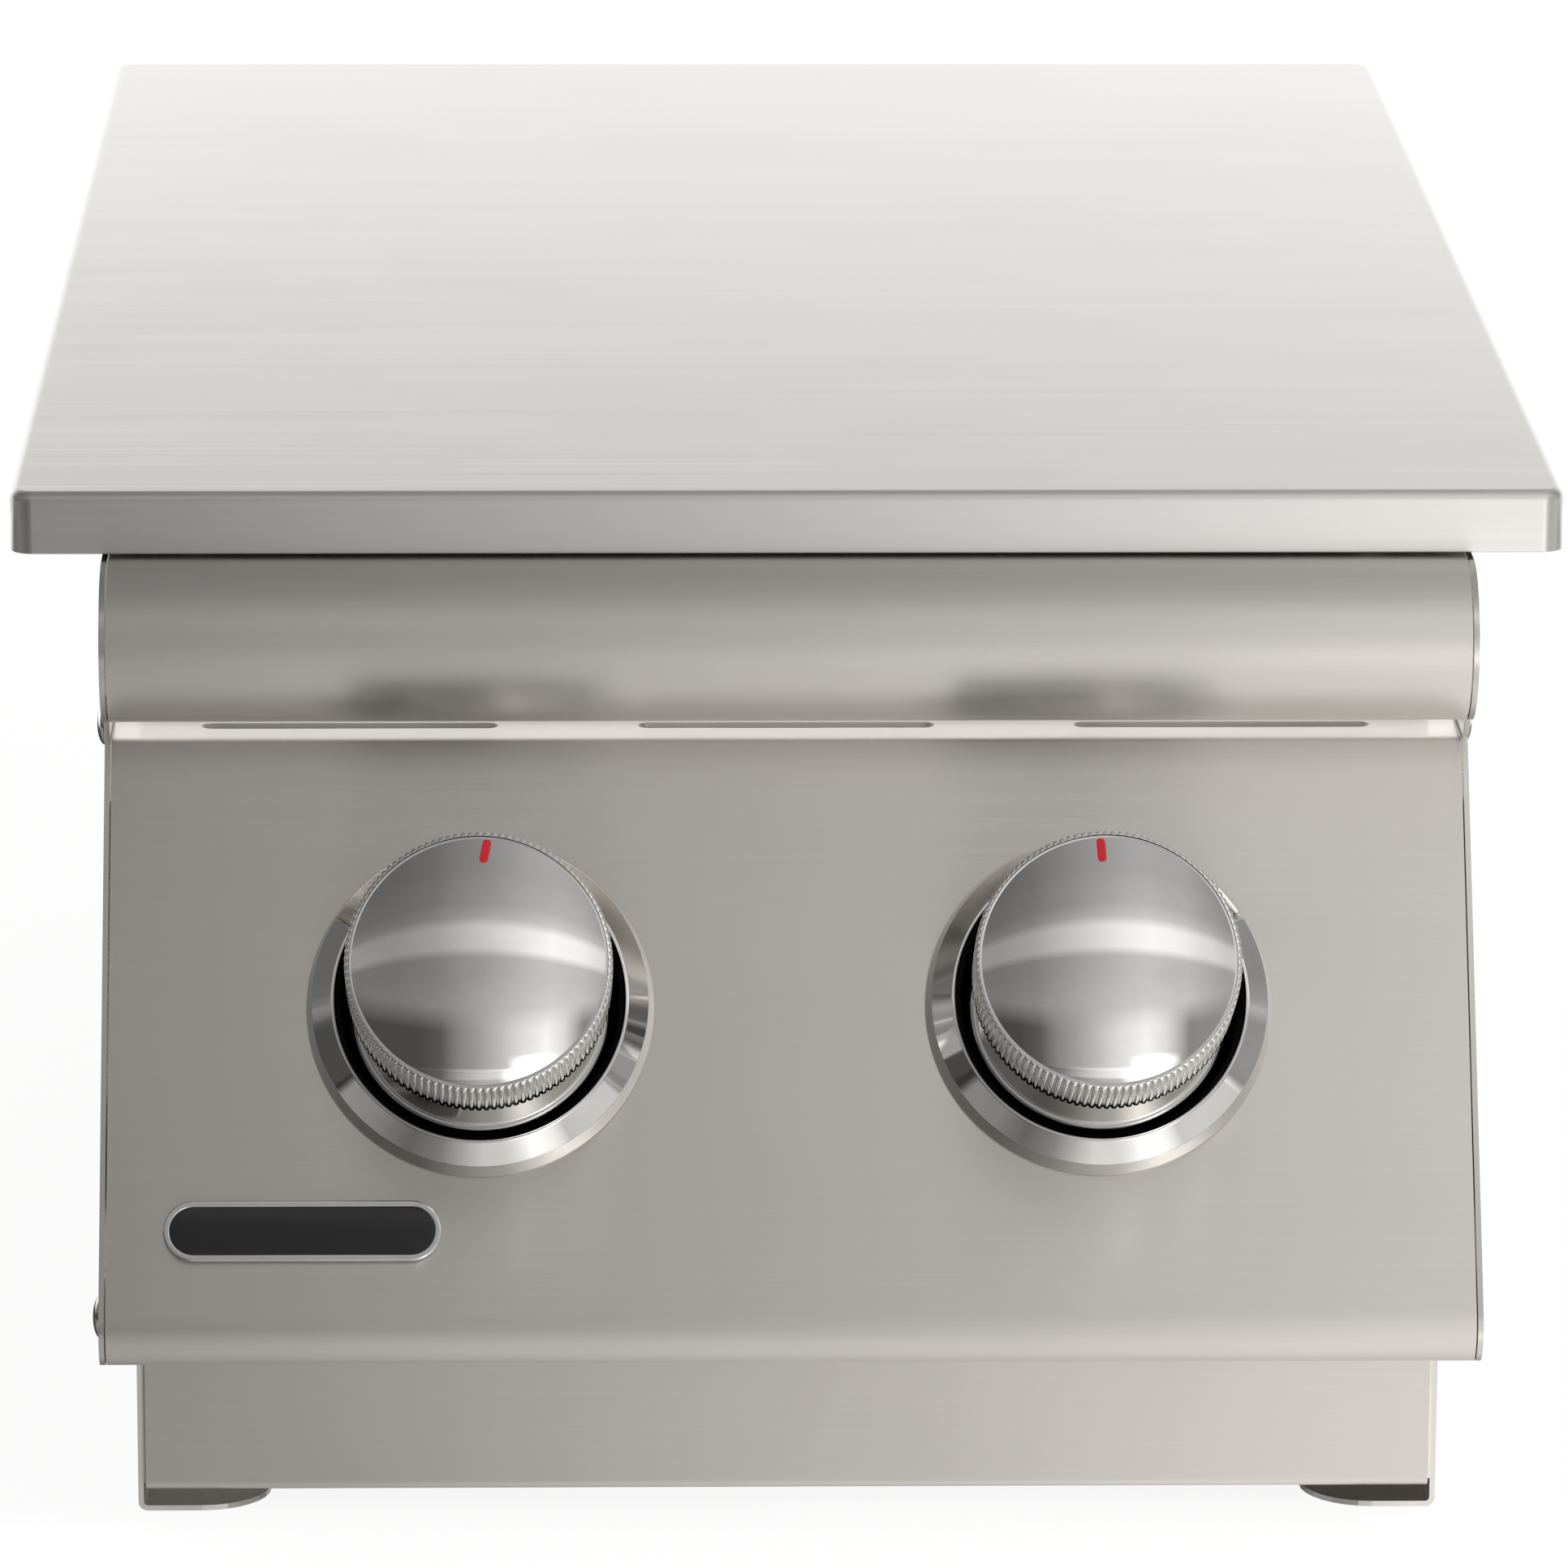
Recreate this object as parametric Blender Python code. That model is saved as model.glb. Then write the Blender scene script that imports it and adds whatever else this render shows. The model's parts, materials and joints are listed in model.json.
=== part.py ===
"""Slide-in double side burner for an outdoor kitchen, piece by piece.

Metres, +Z up, +X to the user's right, and the control panel faces -Y. The origin is the middle of
the footprint, on the surface that the feet stand on.
"""

from math import cos, pi, radians, sin, tan

import bmesh
import bpy
import numpy as np
from mathutils import Matrix, Vector

# Sheet metal and clearances
SHEET = 0.0012
BEND_RADIUS = 0.0020
SEAT_GAP = 0.0003
RUNNING_GAP = 0.0006

# Lid
LID_WIDTH = 0.340
LID_DEPTH = 0.525
LIP_HEIGHT = 0.0138
LIP_CLEARANCE = 0.0010
LID_CORNER_RADIUS = 0.005
LID_INSET = 0.0023

# Box that drops into the worktop cut-out
BOX_WIDTH = 0.287
FOOT_WIDTH = 0.029
FOOT_CORNER_RADIUS = 0.015
BOX_RETURN_WIDTH = 0.012
FLANGE_GAP = 0.0015

# Burner pan and the drip tray in its floor
PAN_GAP = 0.0013
PAN_RIM_WIDTH = 0.0072
PAN_LIP_WIDTH = 0.0100
PAN_LEDGE_WIDTH = 0.0100
PAN_DEPTH = 0.0557
PAN_CORNER_RADIUS = 0.018
TRAY_EDGE_HEIGHT = 0.0025

# Bullnose and control panel
PANEL_WIDTH = 0.300
BULLNOSE_HEIGHT = 0.1918
BULLNOSE_RADIUS = 0.0178
BULLNOSE_RETURN = 0.018
LEDGE_GAP = 0.0057
LEDGE_INSET = 0.0050
LEDGE_DEPTH = 0.0215
FACE_LENGTH = 0.1294
FACE_LEAN = radians(29.8)
ROLL_RADIUS = 0.0088
ROLL_RETURN = 0.058
CHEEK_FLANGE_WIDTH = 0.013
CHEEK_FLANGE_MARGIN = 0.020

# Vent slots in the ledge
SLOT_COUNT = 3
SLOT_LENGTH = 0.0655
SLOT_WIDTH = 0.0050
SLOT_PITCH = 0.3213 * PANEL_WIDTH
SLOT_INSET = 0.0115

# Lower front panel
FRONT_WIDTH = 0.2834
FRONT_SETBACK = 0.0336
FRONT_CLEARANCE = 0.0050
FRONT_TOP_RETURN = 0.014
FRONT_HEM = 0.006

# Cheek bolts, placed from the roll's centre and from the bend at the top of the face
BOLT_HEAD_RADIUS = 0.0047
BOLT_HEAD_HEIGHT = 0.0020
LOWER_BOLT_SETBACK = 0.0145
UPPER_BOLT_SETBACK = 0.0140

# Badge plate, placed from the lower end of the face and the panel's left edge
BADGE_LENGTH = 0.0603
BADGE_WIDTH = 0.0134
BADGE_THICKNESS = 0.0014
BADGE_INSET = 0.0440
BADGE_RISE = 0.0184

# Knobs and bezels, heights measured out from the sloped face
KNOB_SPACING = 0.45 * PANEL_WIDTH
KNOB_DROP = 0.0611
KNOB_RADIUS = 0.0288
KNOB_HEIGHT = 0.0420
KNOB_DOME = 0.0080
KNOB_WALL = 0.0026
KNOB_FLARE = 0.0012
KNURL_HEIGHT = 0.0180
KNURL_DEPTH = 0.0006
KNURL_FLUTES = 30
DOME_STEPS = 4
KNOB_TRAVEL = 0.0040
BEZEL_RADIUS = 0.0380
BEZEL_HEIGHT = 0.0100
BEZEL_GAP = 0.0026
STEM_RADIUS = 0.0040
STEM_HOLE_GAP = 0.0035
HUB_WALL = 0.0040
HUB_DEPTH = 0.0200

# Gas train, depths measured in from the sloped face
COLLAR_THICKNESS = 0.0030
COLLAR_WIDTH = 0.0050
VALVE_RADIUS = 0.0110
VALVE_LENGTH = 0.0320
VALVE_BUSH_LENGTH = 0.0100
VALVE_PORT_RADIUS = 0.0060
VALVE_OUTLET_STUB = 0.0030
MANIFOLD_RADIUS = 0.0095
MANIFOLD_DROP = 0.0240
MANIFOLD_MOUNT_WALL = 0.0030
MANIFOLD_MOUNT_LENGTH = 0.0100
MANIFOLD_MOUNT_FLANGE = 0.0060
INLET_RADIUS = 0.0075
INLET_LENGTH = 0.0380
INLET_SETBACK = 0.0335
ORIFICE_LENGTH = 0.0160
ORIFICE_TIP_RADIUS = 0.0026

# Burners
BURNER_RADIUS = 0.0400
BURNER_BASE_HEIGHT = 0.0220
BURNER_CAP_HEIGHT = 0.0120
BURNER_PORTS = 14
BURNER_PORT_DEPTH = 0.0030
NECK_RADIUS = 0.0130
NECK_LENGTH = 0.0160
VENTURI_RADIUS = 0.0110
VENTURI_WALL = 0.0014
SHUTTER_LENGTH = 0.0180
WINDOW_SHARE = 0.4
ELECTRODE_RADIUS = 0.0034
ELECTRODE_TIP_RADIUS = 0.0012
ELECTRODE_GAP = 0.0060
LEAD_RADIUS = 0.0015
LEAD_SAG = 0.0090
LEAD_CLEARANCE = 0.0180

# Grates
GRATE_ROD_RADIUS = 0.0040
GRATE_LEG_RADIUS = 0.0032
GRATE_CLEARANCE = 0.0020
GRATE_MARGIN = 0.0050
GRATE_CORNER_RADIUS = 0.018
GRATE_BARS = 5

# Smoothness: segments of a quarter bend, and sides of round pieces
BEND_STEPS = 4
WIDE_BEND_STEPS = 9
FINE_SIDES = 36
ROUND_SIDES = 20
SMALL_SIDES = 12
ROD_SIDES = 8
LEAD_SIDES = 6

# Finishes: colour, roughness, metallic
BRUSHED_STEEL = ((0.62, 0.61, 0.59), 0.34, 1.0)
POLISHED_CHROME = ((0.78, 0.78, 0.78), 0.06, 1.0)
GALVANISED_STEEL = ((0.52, 0.52, 0.53), 0.45, 1.0)
GRATE_STEEL = ((0.44, 0.43, 0.42), 0.40, 1.0)
CAST_IRON = ((0.10, 0.10, 0.10), 0.70, 0.6)
BRASS = ((0.72, 0.53, 0.24), 0.32, 1.0)
BLACK_ENAMEL = ((0.015, 0.015, 0.016), 0.30, 0.0)
CERAMIC = ((0.82, 0.80, 0.75), 0.40, 0.0)
RED_SILICONE = ((0.45, 0.05, 0.04), 0.55, 0.0)

# Side profile worked out from the sizes above, as (y, z) with y counted from the bullnose's front
FACE_DOWN = np.array([-sin(FACE_LEAN), -cos(FACE_LEAN)])
FACE_OUT = np.array([-cos(FACE_LEAN), sin(FACE_LEAN)])
BEND_BACK = BULLNOSE_RADIUS + LEDGE_INSET
LEDGE_Z = BULLNOSE_HEIGHT - BULLNOSE_RADIUS - LEDGE_GAP
ROLL_TANGENT = ROLL_RADIUS * tan((pi / 2 + FACE_LEAN) / 2)
ROLL_BACK = BEND_BACK + FACE_DOWN[0] * FACE_LENGTH - FACE_OUT[0] * ROLL_RADIUS
LID_BACK = BULLNOSE_RADIUS + LID_INSET

# Dome of the knob as (radius, height), and how far it reaches out in front of its foot on the face
DOME_ANGLES = [(step + 0.4) / (DOME_STEPS + 0.5) * pi / 2 for step in range(DOME_STEPS)]
DOME = [(KNOB_RADIUS * cos(a), KNOB_HEIGHT + KNOB_DOME * sin(a)) for a in DOME_ANGLES]
KNOB_REACH = max(r * sin(FACE_LEAN) + h * cos(FACE_LEAN) for r, h in DOME)
KNOB_BACK = BEND_BACK + FACE_DOWN[0] * KNOB_DROP
FRONT_BACK = min(ROLL_BACK - ROLL_RADIUS, KNOB_BACK - KNOB_REACH)

# The bullnose's front, set so that the part's box is centred on the origin
BULLNOSE_Y = -(FRONT_BACK + LID_BACK + LID_DEPTH) / 2

# Points and levels in the part's own frame
DECK_Z = BULLNOSE_HEIGHT + BULLNOSE_RADIUS
LIP_Z = DECK_Z + LIP_CLEARANCE
LID_TOP_Z = LIP_Z + LIP_HEIGHT
LID_UNDERSIDE_Z = LID_TOP_Z - SHEET
LID_FRONT_Y = BULLNOSE_Y + LID_BACK
LID_MIDDLE_Y = LID_FRONT_Y + LID_DEPTH / 2
OVERHANG = (LID_WIDTH - BOX_WIDTH) / 2
FLANGE_WIDTH = OVERHANG - SHEET - FLANGE_GAP
BOX_HALF = BOX_WIDTH / 2
BOX_BACK_Y = LID_FRONT_Y + LID_DEPTH - OVERHANG
BEND = np.array([BULLNOSE_Y + BEND_BACK, LEDGE_Z])
FACE_END = BEND + FACE_DOWN * FACE_LENGTH
ROLL_CORNER = FACE_END + FACE_DOWN * ROLL_TANGENT
ROLL_CENTRE = FACE_END - FACE_OUT * ROLL_RADIUS
ROLL_BOTTOM_Z = ROLL_CENTRE[1] - ROLL_RADIUS
CHEEK_BACK_Y = BEND[0] + LEDGE_DEPTH + RUNNING_GAP + SHEET
CHEEK_INNER = PANEL_WIDTH / 2 - SHEET
PANEL_HALF = CHEEK_INNER - SEAT_GAP
FRONT_FACE_Y = ROLL_CENTRE[0] - ROLL_RADIUS + FRONT_SETBACK
FRONT_TOP_Z = ROLL_BOTTOM_Z - SEAT_GAP
SIDE_FRONT_Y = FRONT_FACE_Y + SHEET + SEAT_GAP

# Burner pan: half sizes of its walls, shared by what stands in it
PAN_RIM_X = BOX_HALF - SHEET - PAN_GAP
PAN_RIM_Y = LID_DEPTH / 2 - OVERHANG - SHEET - PAN_GAP
PAN_INNER_X = PAN_RIM_X - PAN_RIM_WIDTH
PAN_INNER_Y = PAN_RIM_Y - PAN_RIM_WIDTH
PAN_RIM_Z = LID_UNDERSIDE_Z - SEAT_GAP
PAN_FLOOR_Z = PAN_RIM_Z - PAN_DEPTH
PAN_SEAT_Z = PAN_FLOOR_Z + SHEET + SEAT_GAP
BURNER_Y = {"front": LID_MIDDLE_Y - PAN_INNER_Y / 2, "rear": LID_MIDDLE_Y + PAN_INNER_Y / 2}

# Knob assemblies: where the axes meet the sloped face, and levels along them
KNOB_FOOT = BEND + FACE_DOWN * KNOB_DROP
KNOB_X = {"left": -KNOB_SPACING / 2, "right": KNOB_SPACING / 2}
BEZEL_FLOOR = SEAT_GAP + SHEET
KNOB_SKIRT = BEZEL_FLOOR + KNOB_TRAVEL + RUNNING_GAP
BEZEL_OPENING = KNOB_RADIUS + BEZEL_GAP
STEM_HOLE_RADIUS = STEM_RADIUS + STEM_HOLE_GAP
COLLAR_RADIUS = STEM_HOLE_RADIUS + COLLAR_WIDTH / 2
COLLAR_FRONT = -SHEET - SEAT_GAP
VALVE_FRONT = COLLAR_FRONT - COLLAR_THICKNESS - KNOB_TRAVEL - RUNNING_GAP
VALVE_BORE_END = VALVE_FRONT - KNOB_TRAVEL - 2 * RUNNING_GAP - VALVE_BUSH_LENGTH / 2
STEM_END = VALVE_FRONT - VALVE_BUSH_LENGTH / 2
VALVE_BACK = VALVE_FRONT - VALVE_BUSH_LENGTH - VALVE_LENGTH
PORT_DEPTH = VALVE_FRONT - VALVE_BUSH_LENGTH - VALVE_LENGTH / 2
OUTLET_DEPTH = VALVE_BACK + VALVE_RADIUS
OUTLET_LENGTH = VALVE_RADIUS * (cos(FACE_LEAN) + sin(FACE_LEAN)) + VALVE_OUTLET_STUB
KNOB_OUT = np.array([0.0, *FACE_OUT])
KNOB_UP = -np.array([0.0, *FACE_DOWN])
MANIFOLD_CENTRE = KNOB_FOOT + FACE_OUT * PORT_DEPTH + FACE_DOWN * MANIFOLD_DROP
OUTLET = KNOB_FOOT + FACE_OUT * OUTLET_DEPTH
ORIFICE_Y = OUTLET[0] + OUTLET_LENGTH + SEAT_GAP
SHUTTER_Y = ORIFICE_Y + ORIFICE_LENGTH - SHUTTER_LENGTH / 2
VENTURI_Y = SHUTTER_Y + SHEET + RUNNING_GAP


def clear_scene():
    """Remove whatever the file holds."""
    for obj in list(bpy.data.objects):
        bpy.data.objects.remove(obj, do_unlink=True)


def empty(name, matrix=None, parent=None):
    """An empty that carries pieces, on a joint's axis or at the origin."""
    holder = bpy.data.objects.new(name, None)
    bpy.context.scene.collection.objects.link(holder)
    holder.parent = parent
    if matrix is not None:
        holder.matrix_local = matrix
    return holder


def dress(obj, finish):
    """Give the object its own Principled material."""
    colour, roughness, metallic = finish
    material = bpy.data.materials.new(obj.name + "_finish")
    material.use_nodes = True
    shader = material.node_tree.nodes["Principled BSDF"]
    shader.inputs["Base Color"].default_value = (*colour, 1.0)
    shader.inputs["Roughness"].default_value = roughness
    shader.inputs["Metallic"].default_value = metallic
    obj.data.materials.append(material)


def solid(name, body, parent, finish=None):
    """An object from (vertices, faces), its faces turned outwards. Without a finish it is a helper."""
    vertices, faces = body
    mesh = bpy.data.meshes.new(name)
    mesh.from_pydata([tuple(vertex) for vertex in vertices], [], faces)
    work = bmesh.new()
    work.from_mesh(mesh)
    bmesh.ops.recalc_face_normals(work, faces=work.faces)
    work.to_mesh(mesh)
    work.free()
    mesh.shade_smooth()
    mesh.set_sharp_from_angle(angle=radians(30))
    obj = bpy.data.objects.new(name, mesh)
    bpy.context.scene.collection.objects.link(obj)
    obj.parent = parent
    if finish is None:
        obj.hide_render = True
        obj.display_type = "WIRE"
    else:
        dress(obj, finish)
    return obj


def combine(obj, helpers, operation):
    """Cut the helpers out of the object, or join them to it."""
    for helper in helpers:
        modifier = obj.modifiers.new(helper.name, "BOOLEAN")
        modifier.operation = operation
        modifier.solver = "EXACT"
        modifier.object = helper


def skin(loops, ring=False):
    """Body through loops of equal count, bridged in order: capped at both ends, or closed into a ring."""
    count = len(loops[0])
    vertices = np.concatenate([np.asarray(loop, dtype=float) for loop in loops])
    starts = [index * count for index in range(len(loops))]
    nexts = starts[1:] + starts[:1] if ring else starts[1:]
    faces = []
    for low, high in zip(starts, nexts):
        for i in range(count):
            j = (i + 1) % count
            faces.append((low + i, low + j, high + j, high + i))
    if not ring:
        faces.append(tuple(range(count)))
        faces.append(tuple(range(starts[-1], starts[-1] + count)))
    return vertices, faces


def along_x(outline, start, end):
    """Prism of a (y, z) outline between two x."""
    return skin([[(x, y, z) for y, z in outline] for x in (start, end)])


def along_y(outline, start, end):
    """Prism of an (x, z) outline between two y."""
    return skin([[(x, y, z) for x, z in outline] for y in (start, end)])


def along_z(outline, start, end):
    """Prism of an (x, y) outline between two z."""
    return skin([[(x, y, z) for x, y in outline] for z in (start, end)])


def block(low, high):
    """Box between two corners."""
    outline = [(low[0], low[1]), (high[0], low[1]), (high[0], high[1]), (low[0], high[1])]
    return along_z(outline, low[2], high[2])


def turned(profile, sides, ring=False):
    """Body turned about local Z from a (radius, height) profile: capped, or a ring round a bore."""
    angles = np.arange(sides) * 2 * pi / sides
    circle = np.column_stack([np.cos(angles), np.sin(angles)])
    return skin([np.column_stack([circle * r, np.full(sides, h)]) for r, h in profile], ring)


def arc(centre, radius, start, end, steps):
    """Points of a circular arc, both ends included."""
    angles = np.linspace(start, end, steps + 1)
    return [(centre[0] + radius * cos(a), centre[1] + radius * sin(a)) for a in angles]


def rounded_path(corners):
    """Open path through (a, b, radius, steps) corners, each inner corner rounded to its radius."""
    points = [np.array(corner[:2], dtype=float) for corner in corners]
    path = [points[0]]
    for index in range(1, len(corners) - 1):
        corner = points[index]
        radius, steps = corners[index][2:]
        back = (points[index - 1] - corner) / np.linalg.norm(points[index - 1] - corner)
        ahead = (points[index + 1] - corner) / np.linalg.norm(points[index + 1] - corner)
        half = np.arccos(np.clip(back @ ahead, -1, 1)) / 2
        middle = (back + ahead) / np.linalg.norm(back + ahead)
        centre = corner + middle * radius / sin(half)
        first = corner + back * radius / tan(half) - centre
        turn = (pi - 2 * half) * np.sign(first[0] * middle[1] - first[1] * middle[0]) * -1
        for angle in np.linspace(0, turn, steps + 1):
            spin = np.array([[cos(angle), -sin(angle)], [sin(angle), cos(angle)]])
            path.append(centre + spin @ first)
    path.append(points[-1])
    return path


def bent_sheet(corners, thickness=SHEET):
    """Outline of a bent sheet: the rounded path of its outer face, and that path moved in to its left."""
    path = np.array(rounded_path(corners))
    keep = np.concatenate([[True], np.linalg.norm(np.diff(path, axis=0), axis=1) > 1e-7])
    path = path[keep]
    steps = np.diff(path, axis=0)
    steps /= np.linalg.norm(steps, axis=1)[:, None]
    sides = np.column_stack([-steps[:, 1], steps[:, 0]])
    before = np.concatenate([sides[:1], sides])
    after = np.concatenate([sides, sides[-1:]])
    mitre = before + after
    mitre /= (mitre * before).sum(axis=1)[:, None]
    return [*path, *(path + mitre * thickness)[::-1]]


def rounded_rectangle(half_x, half_y, radius, middle_y=0.0, steps=BEND_STEPS):
    """(x, y) points round a rectangle with round corners, centred on (0, middle_y)."""
    points = []
    for quarter, (sx, sy) in enumerate([(1, 1), (-1, 1), (-1, -1), (1, -1)]):
        centre = (sx * (half_x - radius), middle_y + sy * (half_y - radius))
        points += arc(centre, radius, quarter * pi / 2, (quarter + 1) * pi / 2, steps)
    return points


def tray_loop(half_x, half_y, radius, z):
    """One level of a tray that is centred under the lid."""
    return [(x, y, z) for x, y in rounded_rectangle(half_x, half_y, radius, LID_MIDDLE_Y)]


def stadium(length, width, centre, steps=BEND_STEPS):
    """Round-ended slot outline along its first axis."""
    radius = width / 2
    reach = length / 2 - radius
    right = arc((centre[0] + reach, centre[1]), radius, -pi / 2, pi / 2, 2 * steps)
    left = arc((centre[0] - reach, centre[1]), radius, pi / 2, 3 * pi / 2, 2 * steps)
    return right + left


def smooth_path(points, pieces):
    """Points of a Catmull-Rom curve through the given points, a few to each stretch."""
    points = np.array(points, dtype=float)
    padded = np.concatenate([[2 * points[0] - points[1]], points, [2 * points[-1] - points[-2]]])
    path = []
    for a, b, c, d in zip(padded, padded[1:], padded[2:], padded[3:]):
        for t in np.arange(pieces) / pieces:
            path.append(0.5 * (2 * b + (c - a) * t + (2 * a - 5 * b + 4 * c - d) * t**2
                               + (3 * b - a - 3 * c + d) * t**3))
    path.append(points[-1])
    return np.array(path)


def tube_loops(path, radius, sides):
    """Circles of one radius square to a path, turned as little as possible from one to the next."""
    path = np.array(path, dtype=float)
    headings = np.gradient(path, axis=0)
    headings /= np.linalg.norm(headings, axis=1)[:, None]
    seed = np.array([1.0, 0.0, 0.0]) if abs(headings[0][0]) < 0.8 else np.array([0.0, 0.0, 1.0])
    loops = []
    for point, heading in zip(path, headings):
        seed = seed - heading * (seed @ heading)
        seed /= np.linalg.norm(seed)
        other = np.cross(heading, seed)
        angles = np.arange(sides) * 2 * pi / sides
        loops.append(point + radius * (np.outer(np.cos(angles), seed) + np.outer(np.sin(angles), other)))
    return loops


def closed_tube_loops(path, radius, sides):
    """Circles square to a closed flat path."""
    path = np.array(path, dtype=float)
    headings = np.roll(path, -1, axis=0) - np.roll(path, 1, axis=0)
    headings /= np.linalg.norm(headings, axis=1)[:, None]
    up = np.array([0.0, 0.0, 1.0])
    angles = np.arange(sides) * 2 * pi / sides
    loops = []
    for point, heading in zip(path, headings):
        out = np.cross(heading, up)
        loops.append(point + radius * (np.outer(np.cos(angles), out) + np.outer(np.sin(angles), up)))
    return loops


def rod(start, end, radius, sides=ROD_SIDES):
    """Straight round rod between two points."""
    return skin(tube_loops([start, end], radius, sides))


def hollow_tube(path, radius, wall, sides):
    """Open-ended tube along a path."""
    outside = tube_loops(path, radius, sides)
    inside = tube_loops(path, radius - wall, sides)
    return skin(outside + inside[::-1], ring=True)


def facing_y(x, y, z):
    """Frame whose local Z points back along +Y."""
    return Matrix.Translation((x, y, z)) @ Matrix.Rotation(-pi / 2, 4, "X")


def facing_x(x, y, z, side):
    """Frame whose local Z points out along X, to the left or the right."""
    return Matrix.Translation((x, y, z)) @ Matrix.Rotation(side * pi / 2, 4, "Y")


def make_lid(parent):
    """Flat tray with a turned-down lip and round corners, its own holder on its lifting axis."""
    holder = empty("lid_lift", Matrix.Translation((0, LID_MIDDLE_Y, LIP_Z)), parent)
    half_x, half_y = LID_WIDTH / 2, LID_DEPTH / 2

    def level(inset, z):
        radius = LID_CORNER_RADIUS - inset
        outline = rounded_rectangle(half_x - inset, half_y - inset, radius)
        return [(x, y, z - LIP_Z) for x, y in outline]

    loops = [level(SHEET, LID_UNDERSIDE_Z), level(SHEET, LIP_Z), level(0, LIP_Z)]
    for angle in np.linspace(0, pi / 2, BEND_STEPS):
        inset = BEND_RADIUS * (1 - cos(angle))
        loops.append(level(inset, LID_TOP_Z - BEND_RADIUS * (1 - sin(angle))))
    solid("lid", skin(loops), holder, BRUSHED_STEEL)


def make_burner_pan(parent):
    """Pan: lip on the box's flanges, raised hollow rim that the lid sits on, walls and a bottom ledge."""
    lip_x = BOX_HALF + PAN_LIP_WIDTH
    lip_y = LID_DEPTH / 2 - OVERHANG + PAN_LIP_WIDTH
    lip_z = DECK_Z + SHEET + SEAT_GAP
    ledge_z = PAN_FLOOR_Z - SEAT_GAP
    radius = PAN_CORNER_RADIUS

    def rim(inset, z):
        return tray_loop(PAN_RIM_X - inset, PAN_RIM_Y - inset, radius - inset, z)

    inner = PAN_RIM_WIDTH
    loops = [
        rim(inner + PAN_LEDGE_WIDTH, ledge_z),
        rim(inner, ledge_z),
        rim(inner, PAN_RIM_Z),
        rim(0, PAN_RIM_Z),
        rim(0, lip_z + SHEET),
        tray_loop(lip_x, lip_y, radius, lip_z + SHEET),
        tray_loop(lip_x, lip_y, radius, lip_z),
        rim(SHEET, lip_z),
        rim(SHEET, PAN_RIM_Z - SHEET),
        rim(inner - SHEET, PAN_RIM_Z - SHEET),
        rim(inner - SHEET, ledge_z - SHEET),
        rim(inner + PAN_LEDGE_WIDTH, ledge_z - SHEET),
    ]
    solid("burner_pan", skin(loops, ring=True), parent, BRUSHED_STEEL)


def make_drip_tray(parent):
    """Shallow tray that lies on the pan's ledge, pierced for the burner necks and the electrodes."""

    def level(inset, z):
        gap = RUNNING_GAP + inset
        radius = PAN_CORNER_RADIUS - PAN_RIM_WIDTH - gap
        return tray_loop(PAN_INNER_X - gap, PAN_INNER_Y - gap, radius, z)

    edge_z = PAN_FLOOR_Z + TRAY_EDGE_HEIGHT
    loops = [level(0, PAN_FLOOR_Z), level(0, edge_z), level(SHEET, edge_z), level(SHEET, PAN_FLOOR_Z + SHEET)]
    tray = solid("drip_tray", skin(loops), parent, BRUSHED_STEEL)
    low, high = PAN_FLOOR_Z - SHEET, PAN_FLOOR_Z + 2 * SHEET
    cutters = []
    for place, y in BURNER_Y.items():
        neck = arc((0, y), NECK_RADIUS + RUNNING_GAP, 0, 2 * pi, ROUND_SIDES)[:-1]
        cutters.append(solid(place + "_neck_hole", along_z(neck, low, high), parent))
        spark = arc((electrode_x(), y), ELECTRODE_RADIUS + RUNNING_GAP, 0, 2 * pi, SMALL_SIDES)[:-1]
        cutters.append(solid(place + "_electrode_hole", along_z(spark, low, high), parent))
    combine(tray, cutters, "DIFFERENCE")


def make_bullnose(parent):
    """Half-round front edge: a flat plate under the pan's lip, rolled forward and under."""
    front, low = BULLNOSE_Y, DECK_Z - 2 * BULLNOSE_RADIUS
    corners = [
        (CHEEK_BACK_Y - RUNNING_GAP, DECK_Z),
        (front, DECK_Z, BULLNOSE_RADIUS, WIDE_BEND_STEPS),
        (front, low, BULLNOSE_RADIUS, WIDE_BEND_STEPS),
        (front + BULLNOSE_RADIUS + BULLNOSE_RETURN, low),
    ]
    body = along_x(bent_sheet(corners), -PANEL_HALF, PANEL_HALF)
    solid("front_bullnose", body, parent, BRUSHED_STEEL)


def make_control_panel(parent):
    """One bent sheet: slotted vent ledge, sloped face with two stem holes, and a rolled lower edge."""
    corners = [
        (BEND[0] + LEDGE_DEPTH, LEDGE_Z),
        (BEND[0], LEDGE_Z, BEND_RADIUS, BEND_STEPS),
        (*ROLL_CORNER, ROLL_RADIUS, WIDE_BEND_STEPS),
        (ROLL_CENTRE[0] + ROLL_RETURN, ROLL_BOTTOM_Z),
    ]
    body = along_x(bent_sheet(corners), -PANEL_HALF, PANEL_HALF)
    panel = solid("control_panel", body, parent, BRUSHED_STEEL)
    cutters = []
    for index in range(SLOT_COUNT):
        x = (index - (SLOT_COUNT - 1) / 2) * SLOT_PITCH
        outline = stadium(SLOT_LENGTH, SLOT_WIDTH, (x, BEND[0] + SLOT_INSET))
        cutter = along_z(outline, LEDGE_Z - 2 * SHEET, LEDGE_Z + SHEET)
        cutters.append(solid(f"vent_slot_{index + 1}", cutter, parent))
    for side, x in KNOB_X.items():
        hole = turned([(STEM_HOLE_RADIUS, -2 * SHEET), (STEM_HOLE_RADIUS, SHEET)], ROUND_SIDES)
        cutter = solid(side + "_stem_hole", hole, parent)
        cutter.matrix_local = knob_frame(x)
        cutters.append(cutter)
    combine(panel, cutters, "DIFFERENCE")


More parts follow.
